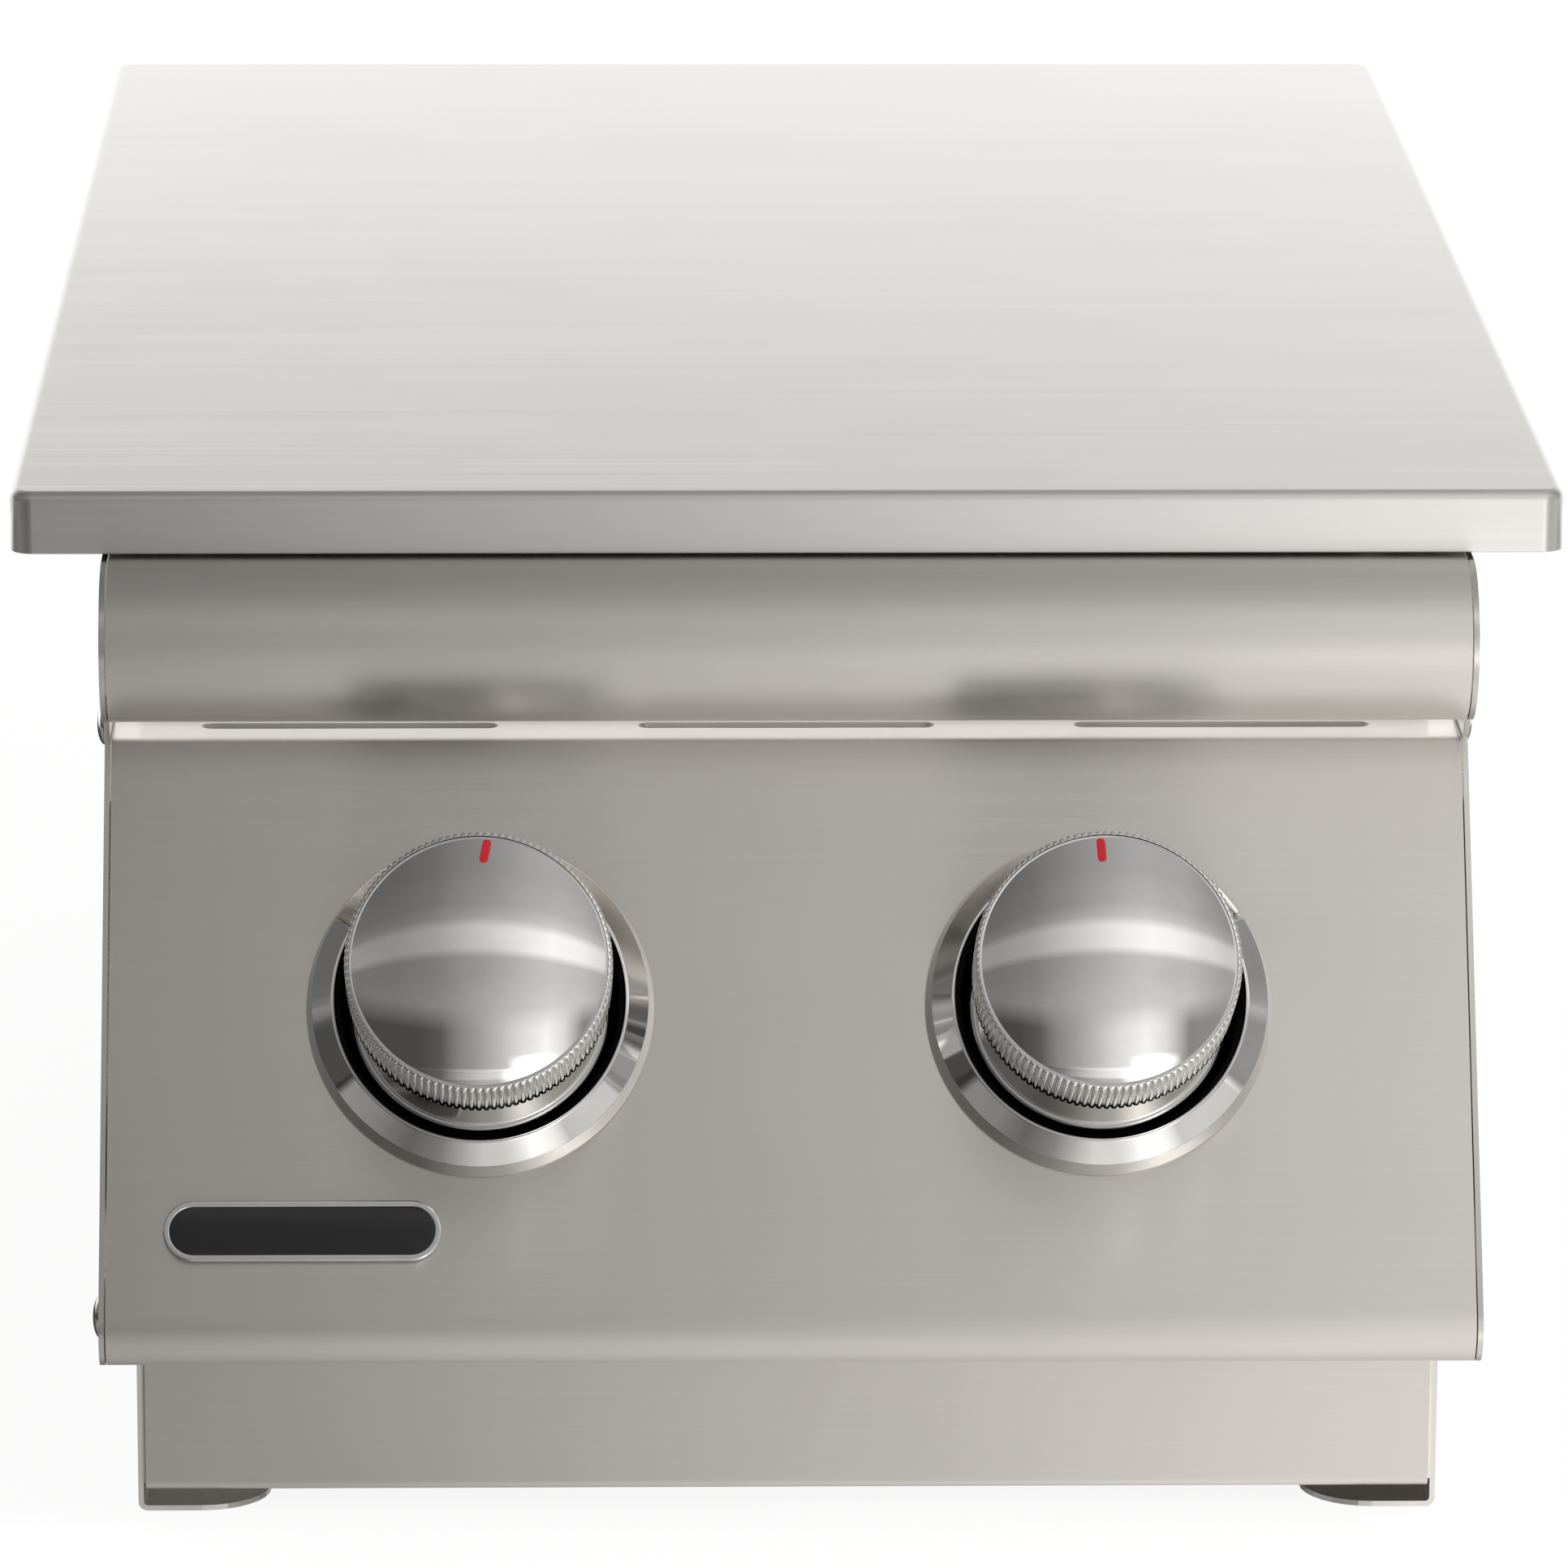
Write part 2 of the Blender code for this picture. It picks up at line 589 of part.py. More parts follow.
def cheek_outline():
    """(y, z) outline of an end plate: roll, sloped face, step up to the bullnose, and a straight back."""
    roll = arc(ROLL_CENTRE, ROLL_RADIUS, -pi / 2, -pi - FACE_LEAN, WIDE_BEND_STEPS)
    nose_centre = (BULLNOSE_Y + BULLNOSE_RADIUS, BULLNOSE_HEIGHT)
    nose = arc(nose_centre, BULLNOSE_RADIUS, 3 * pi / 2, pi / 2, 2 * WIDE_BEND_STEPS)
    return [
        (CHEEK_BACK_Y, ROLL_BOTTOM_Z),
        *roll,
        tuple(BEND),
        *nose,
        (CHEEK_BACK_Y, DECK_Z),
    ]


def make_end_plates(parent):
    """Cheeks that close both ends of the panel and the bullnose, with a flange against the box."""
    for side, sign in (("left", -1), ("right", 1)):
        body = along_x(cheek_outline(), sign * CHEEK_INNER, sign * PANEL_WIDTH / 2)
        cheek = solid(side + "_end_plate", body, parent, BRUSHED_STEEL)
        inner = sign * (PANEL_WIDTH / 2 - CHEEK_FLANGE_WIDTH)
        xs = sorted([inner, sign * (CHEEK_INNER + SHEET / 2)])
        low = (xs[0], CHEEK_BACK_Y - SHEET, ROLL_BOTTOM_Z + CHEEK_FLANGE_MARGIN)
        high = (xs[1], CHEEK_BACK_Y, LEDGE_Z - CHEEK_FLANGE_MARGIN)
        combine(cheek, [solid(side + "_cheek_flange", block(low, high), parent)], "UNION")
        make_bolts(side, sign, parent)


def make_bolts(side, sign, parent):
    """Low round bolt heads on the outside of an end plate."""
    radius, height = BOLT_HEAD_RADIUS, BOLT_HEAD_HEIGHT
    profile = [
        (radius, 0), (radius * 0.96, height * 0.35), (radius * 0.72, height * 0.8), (radius * 0.3, height),
    ]
    places = {
        "upper": (BEND[0] + UPPER_BOLT_SETBACK, LEDGE_Z),
        "lower": (ROLL_CENTRE[0] + LOWER_BOLT_SETBACK, ROLL_CENTRE[1] - ROLL_RADIUS + radius + SHEET),
    }
    for level, (y, z) in places.items():
        bolt = solid(f"{side}_{level}_bolt", turned(profile, ROUND_SIDES // 2), parent, POLISHED_CHROME)
        bolt.matrix_local = facing_x(sign * (PANEL_WIDTH / 2 + SEAT_GAP), y, z, sign)


def make_badge_plate(parent):
    """Bare round-ended plate low on the left of the sloped face."""
    x = -PANEL_WIDTH / 2 + BADGE_INSET
    rise = KNOB_DROP - FACE_LENGTH + BADGE_RISE
    loops = []
    chamfer = BADGE_THICKNESS / 3
    for inset, height in ((0, 0), (0, BADGE_THICKNESS - chamfer), (chamfer, BADGE_THICKNESS)):
        outline = stadium(BADGE_LENGTH - 2 * inset, BADGE_WIDTH - 2 * inset, (0, rise))
        loops.append([(px, py, SEAT_GAP + height) for px, py in outline])
    plate = solid("badge_plate", skin(loops), parent, BLACK_ENAMEL)
    plate.matrix_local = knob_frame(x)


def make_lower_front(parent):
    """Flat front of the box below the control panel, with a top return and a bottom hem."""
    corners = [
        (FRONT_FACE_Y + FRONT_TOP_RETURN, FRONT_TOP_Z),
        (FRONT_FACE_Y, FRONT_TOP_Z, BEND_RADIUS, BEND_STEPS),
        (FRONT_FACE_Y, FRONT_CLEARANCE, BEND_RADIUS, BEND_STEPS),
        (FRONT_FACE_Y + FRONT_HEM, FRONT_CLEARANCE),
    ]
    body = along_x(bent_sheet(corners), -FRONT_WIDTH / 2, FRONT_WIDTH / 2)
    solid("lower_front_panel", body, parent, BRUSHED_STEEL)


def make_side_panels(parent):
    """Box sides: a wall bent out at the top into a hanging flange and in at the bottom into a foot."""
    upper_front = CHEEK_BACK_Y + SEAT_GAP
    notch_z = FRONT_TOP_Z
    beyond = BOX_WIDTH
    for side, sign in (("left", -1), ("right", 1)):
        corners = [
            (BOX_HALF + FLANGE_WIDTH, DECK_Z),
            (BOX_HALF, DECK_Z, BEND_RADIUS, BEND_STEPS),
            (BOX_HALF, 0, BEND_RADIUS, BEND_STEPS),
            (BOX_HALF - FOOT_WIDTH, 0),
        ]
        section = [(sign * x, z) for x, z in bent_sheet(corners, -SHEET)]
        wall = along_y(section, SIDE_FRONT_Y, BOX_BACK_Y)
        panel = solid(side + "_side_panel", wall, parent, BRUSHED_STEEL)
        notch = block((-beyond, SIDE_FRONT_Y - SHEET, notch_z), (beyond, upper_front, LID_TOP_Z))
        inner = BOX_HALF - FOOT_WIDTH
        centre = (inner + FOOT_CORNER_RADIUS, SIDE_FRONT_Y + FOOT_CORNER_RADIUS)
        curve = arc(centre, FOOT_CORNER_RADIUS, pi, 3 * pi / 2, 2 * BEND_STEPS)
        corner = [(inner - SHEET, SIDE_FRONT_Y - SHEET), (inner - SHEET, centre[1]), *curve,
                  (centre[0], SIDE_FRONT_Y - SHEET)]
        rounding = along_z([(sign * x, y) for x, y in corner], -SHEET, 2 * SHEET)
        combine(panel, [
            solid(side + "_notch", notch, parent),
            solid(side + "_foot_corner", rounding, parent),
        ], "DIFFERENCE")
        xs = sorted([sign * (BOX_HALF - BOX_RETURN_WIDTH), sign * (BOX_HALF - SHEET / 2)])
        low = (xs[0], SIDE_FRONT_Y, FRONT_CLEARANCE + SHEET + SEAT_GAP)
        high = (xs[1], SIDE_FRONT_Y + SHEET, FRONT_TOP_Z - SHEET - SEAT_GAP)
        combine(panel, [solid(side + "_front_return", block(low, high), parent)], "UNION")


def make_rear_panel(parent):
    """Back of the box: a wall bent back at the top into a hanging flange, with a return down each side."""
    half = BOX_HALF - SHEET - SEAT_GAP
    low = SHEET + SEAT_GAP
    corners = [
        (BOX_BACK_Y + FLANGE_WIDTH, DECK_Z),
        (BOX_BACK_Y, DECK_Z, BEND_RADIUS, BEND_STEPS),
        (BOX_BACK_Y, low),
    ]
    panel = solid("rear_panel", along_x(bent_sheet(corners, -SHEET), -half, half), parent, BRUSHED_STEEL)
    returns = []
    for side, sign in (("left", -1), ("right", 1)):
        xs = sorted([sign * (half - SHEET), sign * half])
        corner = (xs[0], BOX_BACK_Y - BOX_RETURN_WIDTH, low)
        body = block(corner, (xs[1], BOX_BACK_Y - SHEET / 2, DECK_Z - SHEET - BEND_RADIUS))
        returns.append(solid(side + "_rear_return", body, parent))
    combine(panel, returns, "UNION")


def make_grates(parent):
    """Two rod grates: a round-cornered frame, bars from front to back, one cross bar and four legs."""
    z = LID_UNDERSIDE_Z - GRATE_CLEARANCE - GRATE_ROD_RADIUS
    half_x = PAN_INNER_X - GRATE_MARGIN - GRATE_ROD_RADIUS
    half_y = PAN_INNER_Y / 2 - GRATE_MARGIN - GRATE_ROD_RADIUS
    for place, y in BURNER_Y.items():
        ring = [(px, py, z) for px, py in rounded_rectangle(half_x, half_y, GRATE_CORNER_RADIUS, y, 3)]
        loops = closed_tube_loops(ring, GRATE_ROD_RADIUS, ROD_SIDES)
        grate = solid(place + "_grate", skin(loops, ring=True), parent, GRATE_STEEL)
        bars = []
        for index in range(GRATE_BARS):
            x = ((index + 1) / (GRATE_BARS + 1) - 0.5) * 2 * half_x
            bars.append(((x, y - half_y, z), (x, y + half_y, z), GRATE_ROD_RADIUS))
        bars.append(((-half_x, y, z), (half_x, y, z), GRATE_ROD_RADIUS))
        inset = GRATE_CORNER_RADIUS
        for sx in (-1, 1):
            for sy in (-1, 1):
                x, leg_y = sx * half_x, y + sy * (half_y - inset)
                bars.append(((x, leg_y, z), (x, leg_y, PAN_SEAT_Z), GRATE_LEG_RADIUS))
        helpers = []
        for index, (start, end, radius) in enumerate(bars):
            helpers.append(solid(f"{place}_grate_rod_{index + 1}", rod(start, end, radius), parent))
        combine(grate, helpers, "UNION")


def make_burners(parent):
    """Cast burner bases with a neck through the pan, and ported brass caps on them."""
    for place, y in BURNER_Y.items():
        radius, height = BURNER_RADIUS, BURNER_BASE_HEIGHT
        base = [
            (NECK_RADIUS, -NECK_LENGTH), (NECK_RADIUS, 0), (radius * 0.62, 0), (radius * 0.7, height * 0.3),
            (radius * 0.94, height * 0.7), (radius, height), (radius * 0.86, height),
            (radius * 0.86, height * 0.8),
        ]
        body = solid(place + "_burner_base", turned(base, ROUND_SIDES), parent, CAST_IRON)
        body.matrix_local = Matrix.Translation((0, y, PAN_SEAT_Z))
        cap = solid(place + "_burner_cap", burner_cap_body(), parent, BRASS)
        cap.matrix_local = Matrix.Translation((0, y, PAN_SEAT_Z + height + SEAT_GAP))


def burner_cap_body():
    """Brass cap: a ring of radial ports under a dished top, with a spigot that drops into the base."""
    count = 2 * BURNER_PORTS
    angles = np.arange(2 * count) * pi / count
    notch = np.where(np.arange(2 * count) % 4 < 2, 0.0, BURNER_PORT_DEPTH)
    radius, height = BURNER_RADIUS, BURNER_CAP_HEIGHT
    spigot = radius * 0.86 - RUNNING_GAP

    def level(reach, z, ported=False):
        rs = reach - notch if ported else np.full(len(angles), reach)
        return np.column_stack([rs * np.cos(angles), rs * np.sin(angles), np.full(len(angles), z)])

    return skin([
        level(spigot, -BURNER_BASE_HEIGHT * 0.2 + RUNNING_GAP), level(spigot, 0), level(radius, 0, True),
        level(radius, height * 0.5, True), level(radius, height * 0.55), level(radius * 0.88, height),
        level(radius * 0.4, height * 0.85),
    ])


def electrode_x():
    """Where an igniter stands beside its burner."""
    return BURNER_RADIUS + ELECTRODE_GAP


def venturi_path(place):
    """Mixing tube's middle line: back from the valve's outlet, across to the burner and up to its neck."""
    y = BURNER_Y[place]
    x = KNOB_X["left"] if place == "front" else KNOB_X["right"]
    low, top = OUTLET[1], PAN_SEAT_Z - NECK_LENGTH - SEAT_GAP
    rise = top - low
    straight = (y - VENTURI_Y - SHUTTER_LENGTH) * 0.25
    return smooth_path([
        (x, VENTURI_Y, low),
        (x, VENTURI_Y + SHUTTER_LENGTH, low),
        (x, VENTURI_Y + SHUTTER_LENGTH + straight, low),
        (x * 0.75, y - VENTURI_RADIUS * 4, low),
        (x * 0.12, y - VENTURI_RADIUS * 0.6, low + rise * 0.3),
        (0, y, top - rise * 0.40),
        (0, y, top - rise * 0.15),
        (0, y, top),
    ], 2)


def make_venturis(parent):
    """Mixing tubes from the valves to the burners, with air windows that a turning shutter covers."""
    bore = VENTURI_RADIUS + RUNNING_GAP
    outer = bore + SHEET
    mouth = VALVE_PORT_RADIUS + RUNNING_GAP
    profile = [
        (mouth, 0), (outer, 0), (outer, SHUTTER_LENGTH), (bore, SHUTTER_LENGTH), (bore, SHEET),
        (mouth, SHEET),
    ]
    cup = turned(profile, ROUND_SIDES, ring=True)
    half = outer * WINDOW_SHARE
    window = block((-2 * outer, -half, SHUTTER_LENGTH / 4), (2 * outer, half, SHUTTER_LENGTH * 0.6))
    for place, side in (("front", "left"), ("rear", "right")):
        tube = hollow_tube(venturi_path(place), VENTURI_RADIUS, VENTURI_WALL, ROD_SIDES)
        venturi = solid(place + "_venturi", tube, parent, GALVANISED_STEEL)
        holder = empty(place + "_shutter_axis", facing_y(KNOB_X[side], SHUTTER_Y, OUTLET[1]), parent)
        shutter = solid(place + "_air_shutter", cup, holder, GALVANISED_STEEL)
        cutter = solid(place + "_air_window", window, holder)
        combine(shutter, [cutter], "DIFFERENCE")
        combine(venturi, [cutter], "DIFFERENCE")


def knob_frame(x):
    """Frame on the sloped face: local X along the panel, Y up the face, Z out along the knob's axis."""
    foot = Vector((x, *KNOB_FOOT))
    frame = Matrix((
        (1, KNOB_UP[0], KNOB_OUT[0], foot.x),
        (0, KNOB_UP[1], KNOB_OUT[1], foot.y),
        (0, KNOB_UP[2], KNOB_OUT[2], foot.z),
        (0, 0, 0, 1),
    ))
    return frame


def knob_body():
    """Domed hollow knob: flared skirt, fluted band, beaded rim and a hub that grips the stem."""
    count = 2 * KNURL_FLUTES
    angles = np.arange(count) * 2 * pi / count
    flute = np.where(np.arange(count) % 2, KNURL_DEPTH, 0.0)

    def level(radius, z, fluted=False):
        rs = radius - flute if fluted else np.full(count, radius)
        return np.column_stack([rs * np.cos(angles), rs * np.sin(angles), np.full(count, z)])

    knurl_low = KNOB_HEIGHT - KNURL_HEIGHT
    inside = KNOB_RADIUS - KNOB_WALL
    roof = KNOB_HEIGHT - KNOB_WALL
    hub_bore = STEM_RADIUS + SEAT_GAP
    hub = hub_bore + HUB_WALL
    skirt = KNOB_RADIUS - KNURL_DEPTH
    loops = [
        level(hub_bore, KNOB_SKIRT + HUB_DEPTH),
        level(hub_bore, KNOB_SKIRT),
        level(hub, KNOB_SKIRT),
        level(hub, roof),
        level(inside, roof),
        level(inside, KNOB_SKIRT),
        level(KNOB_RADIUS + KNOB_FLARE, KNOB_SKIRT),
        level(skirt, knurl_low),
        level(KNOB_RADIUS, knurl_low, True),
        level(KNOB_RADIUS, KNOB_HEIGHT, True),
    ]
    loops += [level(radius, height) for radius, height in DOME]
    return skin(loops)


def make_knobs(parent):
    """Each knob's axis carries its bezel, knob, stem, thrust collar and valve."""
    for side, x in KNOB_X.items():
        axis = empty(side + "_knob_axis", knob_frame(x), parent)
        solid(side + "_bezel", bezel_body(), axis, POLISHED_CHROME)
        solid(side + "_knob", knob_body(), axis, POLISHED_CHROME)
        stem = [(STEM_RADIUS, STEM_END), (STEM_RADIUS, KNOB_SKIRT + HUB_DEPTH - SEAT_GAP)]
        solid(side + "_valve_stem", turned(stem, SMALL_SIDES), axis, BRASS)
        bore = STEM_RADIUS + SEAT_GAP
        back = COLLAR_FRONT - COLLAR_THICKNESS
        collar = [(bore, back), (COLLAR_RADIUS, back), (COLLAR_RADIUS, COLLAR_FRONT), (bore, COLLAR_FRONT)]
        solid(side + "_thrust_collar", turned(collar, SMALL_SIDES, ring=True), axis, GALVANISED_STEEL)
        make_valve(side, axis)


def bezel_body():
    """Ring on the face: steep outer wall, a broad cone up to the well round the knob, and a pierced floor."""
    outer, opening, height = BEZEL_RADIUS, BEZEL_OPENING, BEZEL_HEIGHT
    width = outer - opening
    profile = [
        (STEM_HOLE_RADIUS, SEAT_GAP), (outer, SEAT_GAP), (outer - width * 0.07, height * 0.3),
        (outer - width * 0.2, height * 0.55), (outer - width * 0.52, height * 0.8),
        (opening + width * 0.1, height), (opening, height * 0.9), (opening, BEZEL_FLOOR),
        (STEM_HOLE_RADIUS, BEZEL_FLOOR),
    ]
    return turned(profile, FINE_SIDES, ring=True)


def make_valve(side, axis):
    """Brass gas valve behind the face: bush for the stem, body, inlet down to the manifold, outlet back."""
    bore = STEM_RADIUS + RUNNING_GAP
    bush_end = VALVE_FRONT - VALVE_BUSH_LENGTH
    bush = VALVE_RADIUS * 0.75
    profile = [
        (bore, VALVE_BORE_END), (bore, VALVE_FRONT), (bush, VALVE_FRONT), (bush, bush_end),
        (VALVE_RADIUS, bush_end), (VALVE_RADIUS, VALVE_BACK), (VALVE_RADIUS * 0.6, VALVE_BACK - SHEET),
    ]
    valve = solid(side + "_gas_valve", turned(profile, ROUND_SIDES // 2), axis, BRASS)
    reach = MANIFOLD_DROP - MANIFOLD_RADIUS - SEAT_GAP
    inlet = rod((0, 0, PORT_DEPTH), (0, -reach, PORT_DEPTH), VALVE_PORT_RADIUS, SMALL_SIDES)
    turn_back = knob_frame(0).to_3x3().inverted()
    start = Vector((0, 0, OUTLET_DEPTH))
    end = start + turn_back @ Vector((0, OUTLET_LENGTH, 0))
    outlet = rod(tuple(start), tuple(end), VALVE_PORT_RADIUS, SMALL_SIDES)
    combine(valve, [
        solid(side + "_valve_inlet", inlet, axis),
        solid(side + "_valve_outlet", outlet, axis),
    ], "UNION")


def make_gas_train(parent):
    """Manifold across the panel with its end mounts and inlet, and an orifice behind each valve."""
    y, z = MANIFOLD_CENTRE
    end = CHEEK_INNER - SEAT_GAP - MANIFOLD_MOUNT_FLANGE / 2
    pipe = rod((-end, y, z), (end, y, z), MANIFOLD_RADIUS, ROUND_SIDES // 2)
    solid("manifold", pipe, parent, GALVANISED_STEEL)
    bore = MANIFOLD_RADIUS + SEAT_GAP
    outer = bore + MANIFOLD_MOUNT_WALL
    foot = outer + MANIFOLD_MOUNT_FLANGE
    length = MANIFOLD_MOUNT_LENGTH
    profile = [(bore, -length), (outer, -length), (outer, -SHEET), (foot, -SHEET), (foot, 0), (bore, 0)]
    socket = turned(profile, ROUND_SIDES // 2, ring=True)
    for side, sign in (("left", -1), ("right", 1)):
        mount = solid(side + "_manifold_mount", socket, parent, GALVANISED_STEEL)
        mount.matrix_local = facing_x(sign * (CHEEK_INNER - SEAT_GAP), y, z, sign)
    shoulder = INLET_RADIUS * 1.25
    neck = INLET_RADIUS * 0.8
    inlet = [
        (neck, 0), (neck, INLET_LENGTH * 0.2), (shoulder, INLET_LENGTH * 0.2),
        (shoulder, INLET_LENGTH * 0.5), (INLET_RADIUS, INLET_LENGTH * 0.5),
        (INLET_RADIUS, INLET_LENGTH * 0.9), (INLET_RADIUS * 0.5, INLET_LENGTH),
        (INLET_RADIUS * 0.5, INLET_LENGTH * 0.6),
    ]
    fitting = solid("gas_inlet", turned(inlet, ROUND_SIDES // 2), parent, BRASS)
    fitting.matrix_local = facing_y(end - INLET_SETBACK, y + MANIFOLD_RADIUS + SEAT_GAP, z)
    for side, x in KNOB_X.items():
        tip, hexagon = ORIFICE_TIP_RADIUS, VALVE_PORT_RADIUS
        profile = [
            (hexagon, 0), (hexagon, ORIFICE_LENGTH * 0.4), (tip * 1.5, ORIFICE_LENGTH * 0.5),
            (tip, ORIFICE_LENGTH),
        ]
        spud = solid(side + "_orifice", turned(profile, SMALL_SIDES // 2), parent, BRASS)
        spud.matrix_local = facing_y(x, ORIFICE_Y, OUTLET[1])


def make_electrodes(parent):
    """Spark electrodes beside the burners: a ceramic sleeve, its collar on the pan's floor, and a tip."""
    top = BURNER_BASE_HEIGHT + BURNER_CAP_HEIGHT * 0.4
    radius, tip = ELECTRODE_RADIUS, ELECTRODE_TIP_RADIUS
    collar = radius * 1.7
    profile = [
        (radius, -NECK_LENGTH * 0.7), (radius, 0), (collar, 0), (collar, SHEET), (radius, SHEET),
        (radius, top * 0.75), (tip, top * 0.75), (tip, top),
    ]
    for place, y in BURNER_Y.items():
        electrode = solid(place + "_electrode", turned(profile, ROD_SIDES), parent, CERAMIC)
        electrode.matrix_local = Matrix.Translation((electrode_x(), y, PAN_SEAT_Z))


def make_leads(parent):
    """Ignition leads under the pan, each from its electrode's foot forward to the side of its valve."""
    foot = PAN_SEAT_Z - NECK_LENGTH * 0.7 - SEAT_GAP
    middle = KNOB_FOOT + FACE_OUT * (VALVE_FRONT - VALVE_BUSH_LENGTH - VALVE_LENGTH / 4)
    for place, side, sag in (("front", "left", LEAD_SAG), ("rear", "right", 2 * LEAD_SAG)):
        x, y = electrode_x(), BURNER_Y[place]
        low = foot - sag
        inward = 1 if side == "left" else -1
        side_x = KNOB_X[side] + inward * (VALVE_RADIUS + SEAT_GAP)
        clear_x = side_x + inward * LEAD_CLEARANCE
        path = smooth_path([
            (x, y, foot),
            (x, y, foot - sag / 4),
            (x, y, foot - sag / 2),
            (x - LEAD_CLEARANCE / 2, y - LEAD_CLEARANCE, low),
            (x - LEAD_CLEARANCE, VENTURI_Y + 2 * SHUTTER_LENGTH, low),
            (clear_x, VENTURI_Y, (low + middle[1]) / 2),
            (clear_x, middle[0] + LEAD_CLEARANCE / 2, middle[1]),
            (side_x + inward * LEAD_CLEARANCE / 2, middle[0], middle[1]),
            (side_x + inward * LEAD_CLEARANCE / 4, middle[0], middle[1]),
            (side_x, middle[0], middle[1]),
        ], 2)
        solid(place + "_lead", skin(tube_loops(path, LEAD_RADIUS, LEAD_SIDES)), parent, RED_SILICONE)


def build():
    """Build every piece under one empty at the origin."""
    clear_scene()
    root = empty("side_burner")
    make_side_panels(root)
    make_rear_panel(root)
    make_lower_front(root)
    make_burner_pan(root)
    make_drip_tray(root)
    make_bullnose(root)
    make_control_panel(root)
    make_end_plates(root)
    make_badge_plate(root)
    make_gas_train(root)
    make_knobs(root)
    make_venturis(root)
    make_burners(root)
    make_electrodes(root)
    make_leads(root)
    make_grates(root)
    make_lid(root)


build()
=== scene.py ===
"""Looks of the slide-in double side burner: smooth surfaces, finishes, studio and camera.

Metres, in the packed model's own frame: +X to the user's right, +Y to the back, +Z up, and the
control panel faces -Y. Each new surface is a numpy grid of points, or a profile carried along a path.
"""

from __future__ import annotations

import json
import logging
from dataclasses import dataclass, field
from enum import Enum
from functools import cached_property
from math import cos, pi, radians, sin, tan
from typing import Sequence

import bmesh
import bpy
import numpy as np
from mathutils import Matrix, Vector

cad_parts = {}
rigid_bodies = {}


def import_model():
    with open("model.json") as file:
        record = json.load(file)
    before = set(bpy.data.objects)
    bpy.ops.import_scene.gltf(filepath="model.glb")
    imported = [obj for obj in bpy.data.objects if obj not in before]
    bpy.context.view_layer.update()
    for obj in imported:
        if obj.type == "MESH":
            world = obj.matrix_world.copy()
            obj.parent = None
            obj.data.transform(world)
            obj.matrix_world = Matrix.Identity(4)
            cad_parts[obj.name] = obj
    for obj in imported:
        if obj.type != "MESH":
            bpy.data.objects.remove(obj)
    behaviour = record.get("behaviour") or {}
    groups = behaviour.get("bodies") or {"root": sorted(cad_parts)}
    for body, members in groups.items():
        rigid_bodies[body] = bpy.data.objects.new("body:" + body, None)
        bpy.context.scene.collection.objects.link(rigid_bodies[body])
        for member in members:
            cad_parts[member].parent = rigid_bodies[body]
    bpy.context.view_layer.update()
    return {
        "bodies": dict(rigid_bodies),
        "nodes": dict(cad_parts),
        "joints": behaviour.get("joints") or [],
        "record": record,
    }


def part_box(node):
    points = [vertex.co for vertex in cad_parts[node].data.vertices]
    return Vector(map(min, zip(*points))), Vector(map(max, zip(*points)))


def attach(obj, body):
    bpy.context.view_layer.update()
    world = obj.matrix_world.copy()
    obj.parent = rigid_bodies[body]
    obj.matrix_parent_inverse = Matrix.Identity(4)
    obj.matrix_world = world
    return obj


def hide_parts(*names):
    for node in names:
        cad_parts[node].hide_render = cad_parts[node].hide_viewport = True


LOG = logging.getLogger("side_burner")
Array = np.ndarray
Mesh = bpy.types.Mesh
Node = bpy.types.Node
Socket = bpy.types.NodeSocket
Stops = tuple[tuple[float, float], ...]


class Side(Enum):
    """Left or right of the control panel, with the sign of X there."""

    LEFT = -1
    RIGHT = 1

    @property
    def word(self) -> str:
        """The side's word in piece and node names."""
        return self.name.lower()


class Place(Enum):
    """Front or rear burner."""

    FRONT = "front"
    REAR = "rear"


class Grain(Enum):
    """Which way a sheet was brushed: the axis that the strokes follow."""

    ALONG_X = "X"
    ALONG_Y = "Y"


